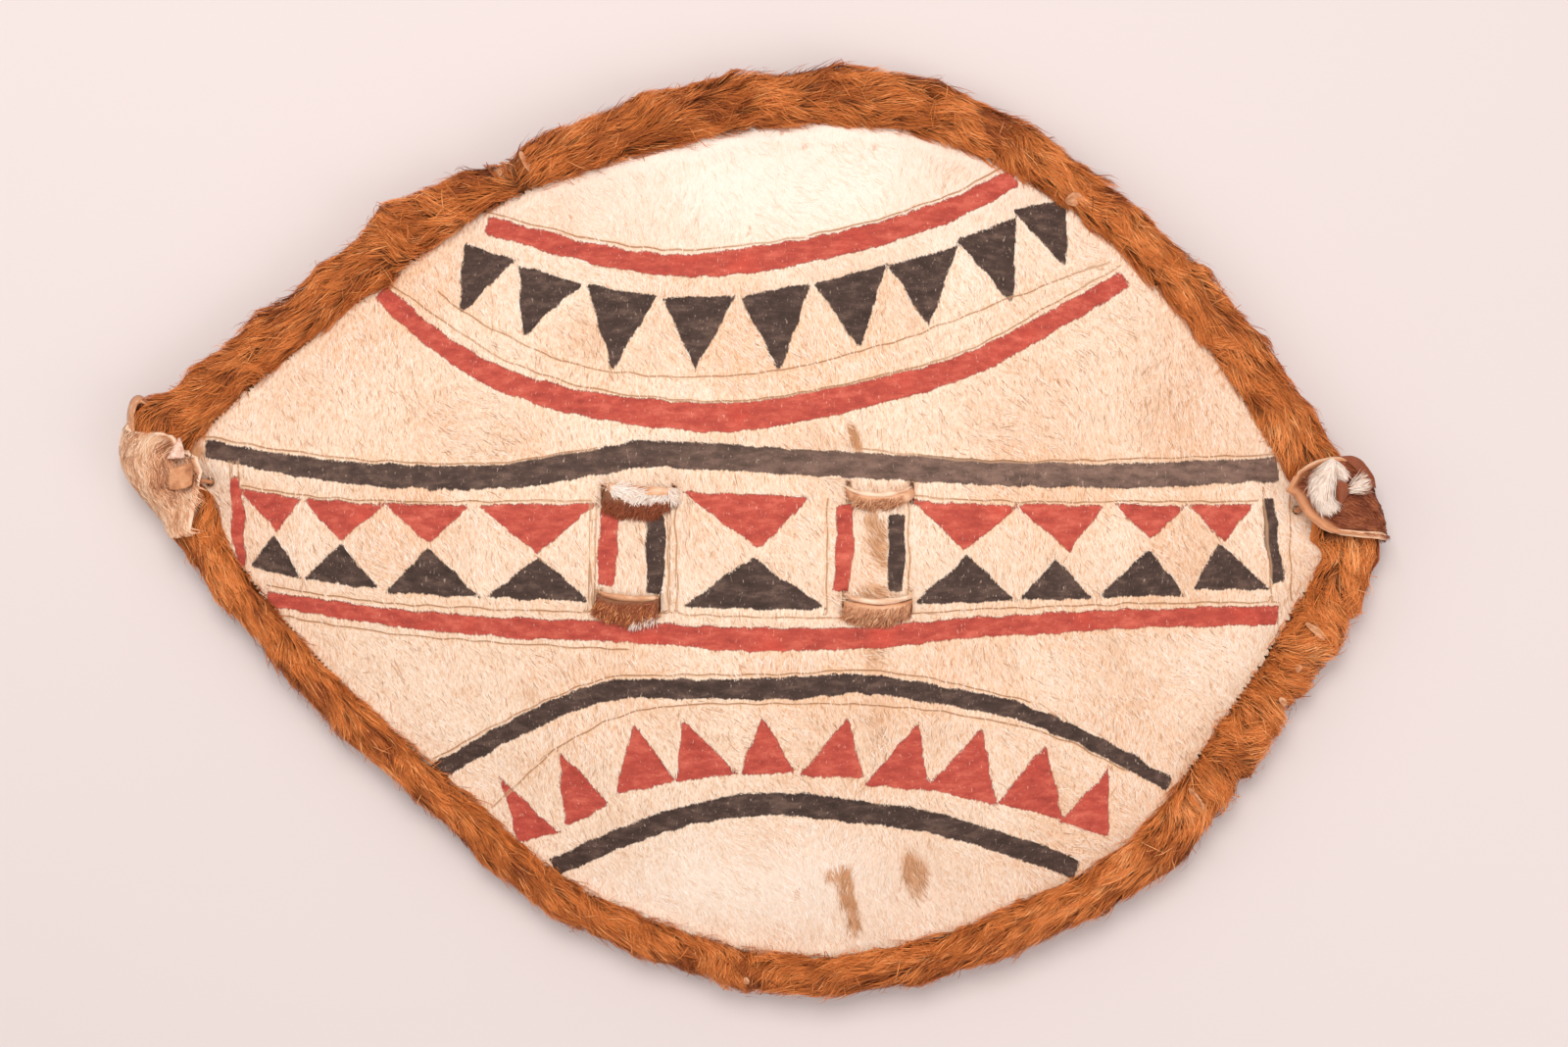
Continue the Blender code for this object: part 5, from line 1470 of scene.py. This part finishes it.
knot_end = folded_strip("right_knot_end", [
    [(313.5, 27.5, 0.0360), (316.5, 28.5, 0.0376), (320.5, 26.5, 0.0358)],
    [(315.0, 20.0, 0.0356), (318.5, 20.5, 0.0374), (322.5, 20.5, 0.0352)],
    [(316.0, 12.2, 0.0342), (317.5, 12.0, 0.0352), (319.0, 13.0, 0.0340)],
], 5, 0.0016, dark_skin, 0.0002)
set_values(knot_end, "edge", np.full(len(knot_end.data.vertices), AWAY_FROM_EDGE))
folded_strip("right_knot_core", [
    [(311.5, 35.0, 0.0340), (312.5, 36.0, 0.0345), (313.5, 35.5, 0.0340)],
    [(304.5, 25.0, 0.0335), (307.5, 25.0, 0.0356), (310.5, 25.0, 0.0335)],
    [(301.5, 18.5, 0.0330), (306.0, 18.0, 0.0350), (310.5, 17.5, 0.0330)],
    [(306.5, 11.5, 0.0325), (308.0, 11.0, 0.0335), (309.5, 11.5, 0.0325)],
], 5, 0.0030, tongue_skin, 0.0003)


# Lashings: two flat thongs, about 10 mm wide, that hold the stave. Each comes through four slits,
# is drawn tight round the stave, and shows two stitches on the face. Each stitch keeps some of its
# hair, and no two are alike.
lashing_leather = mottled_material(
    "lashing_leather", 0.5, 0.4, ((0.5, 1.0, 1.0), 130.0, 4.0, 0.6),
    [(0.30, (0.42, 0.16, 0.075)), (0.50, (0.66, 0.34, 0.18)), (0.70, (0.82, 0.54, 0.36))],
    0.0004, ((0.3, 1.0, 1.0), 1100.0), (0.56, 0.74, 0.45, (0.36, 0.14, 0.07)),
)
lashing_brown = mottled_material(
    "lashing_brown_hide", 0.7, 0.3, (EVEN, 200.0, 4.0, 0.6),
    [(0.0, (0.12, 0.040, 0.020)), (1.0, (0.34, 0.14, 0.065))], 0.0005,
)
# Pale leather: the lower right stitch's pale upper layer, and a painted highlight laid along the upper
# edge of the upper right stitch
lashing_pale_and_highlight = mottled_material(
    "lashing_pale_and_painted_highlight", 0.5, 0.4, ((0.4, 1.0, 1.0), 240.0, 4.0, 0.6),
    [(0.32, (0.66, 0.36, 0.21)), (0.60, (0.90, 0.68, 0.50))], 0.0004,
)

# Each stitch: middle line of seen places, width in mm, then height and lift over the hide
STITCHES = {
    "stitch_1_under": ([(-82.5, 17.0), (-61.0, 13.4), (-41.8, 16.5)], 11.5, 0.0034, 0.0004),
    "stitch_1_top": ([(-80.5, 22.6), (-60.0, 19.6), (-42.0, 19.8)], 6.6, 0.0022, 0.0026),
    "stitch_2_under": ([(-85.5, -39.6), (-66.0, -43.6), (-50.0, -41.6)], 11.6, 0.0036, 0.0004),
    "stitch_2_edge": ([(-84.5, -34.6), (-67.0, -37.8), (-50.8, -37.4)], 3.4, 0.0020, 0.0022),
    "stitch_3_under": ([(49.3, 19.8), (67.0, 15.4), (87.5, 19.8)], 8.0, 0.0036, 0.0004),
    # The upper right's edge strip is a painted highlight along the top of the stitch.
    "stitch_3_edge": ([(50.0, 22.0), (67.0, 18.2), (86.8, 22.4)], 2.8, 0.0016, 0.0030),
    "stitch_4_under": ([(47.8, -42.0), (66.0, -45.8), (86.4, -42.0)], 9.6, 0.0032, 0.0004),
    "stitch_4_top": ([(48.5, -35.8), (66.0, -39.6), (85.8, -36.6)], 3.4, 0.0024, 0.0018),
}


def stitch_place(name, t, angle):
    """Places on a stitch by share from slit to slit and by angle over its rounded back."""
    line, width, height, lift = STITCHES[name]
    bend = t * (1.0 - t) * 4.0
    middle = [line[0][k] + (line[2][k] - line[0][k]) * t for k in (0, 1)]
    sag = line[1][1] - (line[0][1] + line[2][1]) / 2
    dive = np.clip(np.minimum(t, 1.0 - t) / 0.08, 0.0, 1.0)
    wide = width / 2 * (0.66 + 0.34 * np.sqrt(np.clip(bend, 0.0, 1.0)))
    wide = wide * (1.0 + 0.10 * ripple(t * 0.04, angle * 0.002, 0.016, len(name) + int(width * 10)))
    px = middle[0] + 0.5 * ripple(t * 0.04, angle * 0.004, 0.02, int(width * 10))
    py = middle[1] + sag * bend + wide * np.cos(angle)
    x, y, _ = seen_place(px, py, 0.066)
    height = height * (1.0 + 0.15 * ripple(t * 0.04, angle * 0.003, 0.012, int(width * 10) + 1))
    z = hide_height(x, y) + lift * dive + height * np.sin(angle) * dive ** 0.5 - 0.0042 * (1.0 - dive)
    return np.stack([*seen_place(px, py, z)[:2], z], -1)


STITCH_THICKNESS = 0.0011


def make_stitch(name, material):
    """The stitch's own skin, closed along its lower edges under the hide's hair."""
    shares, angles = np.linspace(0.0, 1.0, 41), np.linspace(math.pi + 0.5, -0.5, 17)
    outer = stitch_place(name, *np.meshgrid(shares, angles, indexing="ij"))
    return thick_sheet(name, outer, STITCH_THICKNESS, material)


def stitch_hair(name, label, part, count, long, turn, material, tones, seed):
    """Hair on part of a stitch: shares and angles where it grows, length and turn in degrees."""
    draw = np.random.default_rng(seed)
    t = draw.uniform(part[0], part[1], count)
    angle = draw.uniform(part[2], part[3], count)
    root = stitch_place(name, t, angle)
    way = math.radians(turn) + 0.35 * ripple(t * 0.04, angle * 0.004, 0.012, seed)
    way = way + 0.3 * draw.normal(size=count)
    long = long * draw.uniform(0.5, 1.15, count)
    share = np.array([0.0, 0.4, 0.75, 1.0])[None, :]
    x = root[:, :1] + np.cos(way)[:, None] * long[:, None] * share
    y = root[:, 1:2] + np.sin(way)[:, None] * long[:, None] * share
    bow = draw.uniform(0.0004, 0.0014, count)[:, None] * np.sin(share * 2.4)
    z = root[:, 2:] + bow - draw.uniform(0.0002, 0.0030, count)[:, None] * share ** 2
    z = np.maximum(z, hide_height(x, y) + 0.0006)
    tone = np.clip(tones + 0.15 * draw.normal(size=count), 0.02, 0.98)
    width = FINE_HAIR_WIDTH * draw.uniform(0.7, 1.2, count)
    paths = np.stack([x, y, z], -1)
    hair_piece(label, paths, width, UPWARD, tone, material, 0.6, seed + 1)


def sling(name, top, bottom, material, seed):
    """The leg of a lashing from the upper slit, under the stave, to the lower slit."""
    upper, lower = top[1] + 0.0005, bottom[1] - 0.0005
    middle = (top[0] + bottom[0]) / 2
    stave_y, stave_z, radius = stave_at(middle)
    hug = radius + 0.0019
    back = float(hide_height(*top)) - HIDE_THICKNESS, float(hide_height(*bottom)) - HIDE_THICKNESS
    up, flat, slant = (0.0, 1.0, 0.0), (-1.0, 0.0, 0.0), (-0.77, 0.64, 0.0)
    size = (0.0104, 0.0022)
    route = [(top[0], upper, back[0] + rise, *up, *size) for rise in (0.0016, -0.0022)]
    for share, way in ((0.35, slant), (0.75, flat)):
        x, y = top[0] + (middle - top[0]) * share, upper + (stave_y + hug - upper) * share
        route.append((x, y, back[0] + (stave_z - back[0]) * share, *way, *size))
    for angle in (0.0, 0.52, 1.05, 1.57, 2.09, 2.62, 3.14):
        y, z = stave_y + math.cos(angle) * hug, stave_z - math.sin(angle) * hug
        route.append((middle, y, z, *flat, *size))
    for share, way in ((0.25, flat), (0.65, (-0.77, -0.64, 0.0))):
        x, y = middle + (bottom[0] - middle) * share, stave_y - hug + (lower - stave_y + hug) * share
        route.append((x, y, stave_z + (back[1] - stave_z) * share, *way, *size))
    down = (0.0, -1.0, 0.0)
    route += [(bottom[0], lower, back[1] + rise, *down, *size) for rise in (-0.0022, 0.0016)]
    return thong(name, route, material, seed)


for index, name in enumerate(("left_lashing", "left_lashing", "right_lashing", "right_lashing")):
    top, bottom = SLIT_PLACES[index // 2 * 4 + index % 2], SLIT_PLACES[index // 2 * 4 + index % 2 + 2]
    leg = sling("%s_sling_%d" % (name, index % 2 + 1), top, bottom, lashing_leather, 640 + index)
    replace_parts(leg, name)

# Each stitch: its number, lashing, lower skin, upper layer and its skin, then the hair on it. For
# each hair: its layer, name, shares and angles, count, length, turn, material, tone and seed.
STITCH_LAYERS = [
    # Upper left: a brown-haired thong folded over itself, its bare top and a white fringe showing
    (1, "left_lashing", lashing_brown, "top", lashing_leather, [
        ("under", "brown_hair", (0.04, 0.93, 1.5, 3.1), 900, 0.0050, -112.0, dark_hair, 0.40, 600),
        ("top", "white_hair", (0.02, 0.50, 0.8, 3.0), 650, 0.0088, -28.0, white_hair, 0.66, 602),
        ("top", "white_fringe", (0.30, 0.92, 1.9, 3.1), 420, 0.0060, -125.0, white_hair, 0.62, 604),
        ("top", "white_end", (0.90, 0.99, 0.3, 3.1), 220, 0.0060, -62.0, white_hair, 0.60, 606),
    ]),
    # Lower left: brown hair from a bare tan upper edge, with a white fringe at its lower right
    (2, "left_lashing", lashing_brown, "edge", lashing_leather, [
        ("under", "brown_hair", (0.02, 0.97, 1.0, 3.2), 1500, 0.0050, -122.0, dark_hair, 0.58, 610),
        ("under", "light_hair", (0.02, 0.90, 1.2, 2.6), 170, 0.0055, -118.0, rim_hair, 0.80, 611),
        ("under", "white_hair", (0.58, 0.95, 2.5, 3.3), 240, 0.0062, -112.0, white_hair, 0.62, 612),
    ]),
    # Upper right: smooth tan, with a painted highlight along its upper edge, a thin strip of pale leather,
    # and thin pinkish hair
    (3, "right_lashing", lashing_leather, "edge", lashing_pale_and_highlight, [
        ("under", "hair", (0.15, 0.85, 1.4, 3.2), 420, 0.0038, -140.0, pale_hair, 0.42, 620),
    ]),
    # Lower right: two layers, the upper one smooth and pale, the lower one fuzzy
    (4, "right_lashing", lashing_leather, "top", lashing_pale_and_highlight, [
        ("under", "hair", (0.04, 0.96, 1.0, 3.3), 900, 0.0044, -125.0, pale_hair, 0.42, 630),
        ("under", "dark_hair", (0.04, 0.96, 2.6, 3.4), 200, 0.0040, -115.0, dark_hair, 0.62, 632),
    ]),
]
for number, lashing, lower_skin, upper_layer, upper_skin, hairs in STITCH_LAYERS:
    stitch = "stitch_%d_" % number
    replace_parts(make_stitch(stitch + "under", lower_skin), lashing)
    make_stitch(stitch + upper_layer, upper_skin)
    for layer, name, *hair in hairs:
        stitch_hair(stitch + layer, stitch + name, *hair)


# Stave: a peeled hardwood stick behind the hide, about 0.59 m long and 8 to 13 mm thick, which is
# the grip. It is whittled round, bows a little, has five low knots, and is darkened by hands. The
# thongs hold it.
wood, tree, shader = new_material("stave_wood", 0.6, 0.3)
grain = noise_node(place_node(tree, (0.12, 1.0, 1.0)), 500.0, 4.0, 0.6)
knots = noise_node(place_node(tree, (0.6, 1.0, 1.0)), 40.0, 2.0)
bark = ramp_node(grain, [
    (0.30, (0.12, 0.055, 0.025)), (0.52, (0.30, 0.16, 0.075)), (0.72, (0.46, 0.28, 0.14)),
])
bark = mix_node(step_node(knots, 0.62, 0.72, 0.0, 0.7), bark, (0.09, 0.040, 0.020))
finish_shader(shader, bark, grain, 0.0005)

STAVE_ROWS = 160
STAVE_COLUMNS = 24
KNOT_HEIGHT = 0.0009
KNOT_REACH = 0.006
KNOTS = [(-0.205, 3.6), (-0.118, 5.2), (-0.012, 4.3), (0.118, 3.3), (0.214, 5.0)]
stave_x = np.linspace(STAVE_ENDS[0][0], STAVE_ENDS[1][0], STAVE_ROWS)[:, None]
stave_turn = np.linspace(0.0, math.tau, STAVE_COLUMNS + 1)[None, :-1]
stave_y, stave_z, stave_radius = stave_at(stave_x)
knot = sum(
    KNOT_HEIGHT * np.exp(-((stave_x - x) / KNOT_REACH) ** 2)
    * np.clip(np.cos(stave_turn - turn), 0.0, 1.0) ** 2 for x, turn in KNOTS
)
radius = stave_radius * (1.0 + 0.03 * ripple(stave_x, stave_turn * 0.004, 0.05, 661)) + knot
from_end = np.minimum(stave_x - STAVE_ENDS[0][0], STAVE_ENDS[1][0] - stave_x)
radius = radius * np.clip(from_end / 0.0015 + 0.05, 0.0, 1.0) ** 0.5
stave_points = np.stack([
    stave_x + 0 * stave_turn,
    stave_y + radius * np.cos(stave_turn),
    stave_z + radius * np.sin(stave_turn),
], -1).reshape(-1, 3)
stave_faces = grid_faces(STAVE_ROWS, STAVE_COLUMNS, True)
stick = new_piece("stave_stick", stave_points, stave_faces, wood)
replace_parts(stick, "stave")
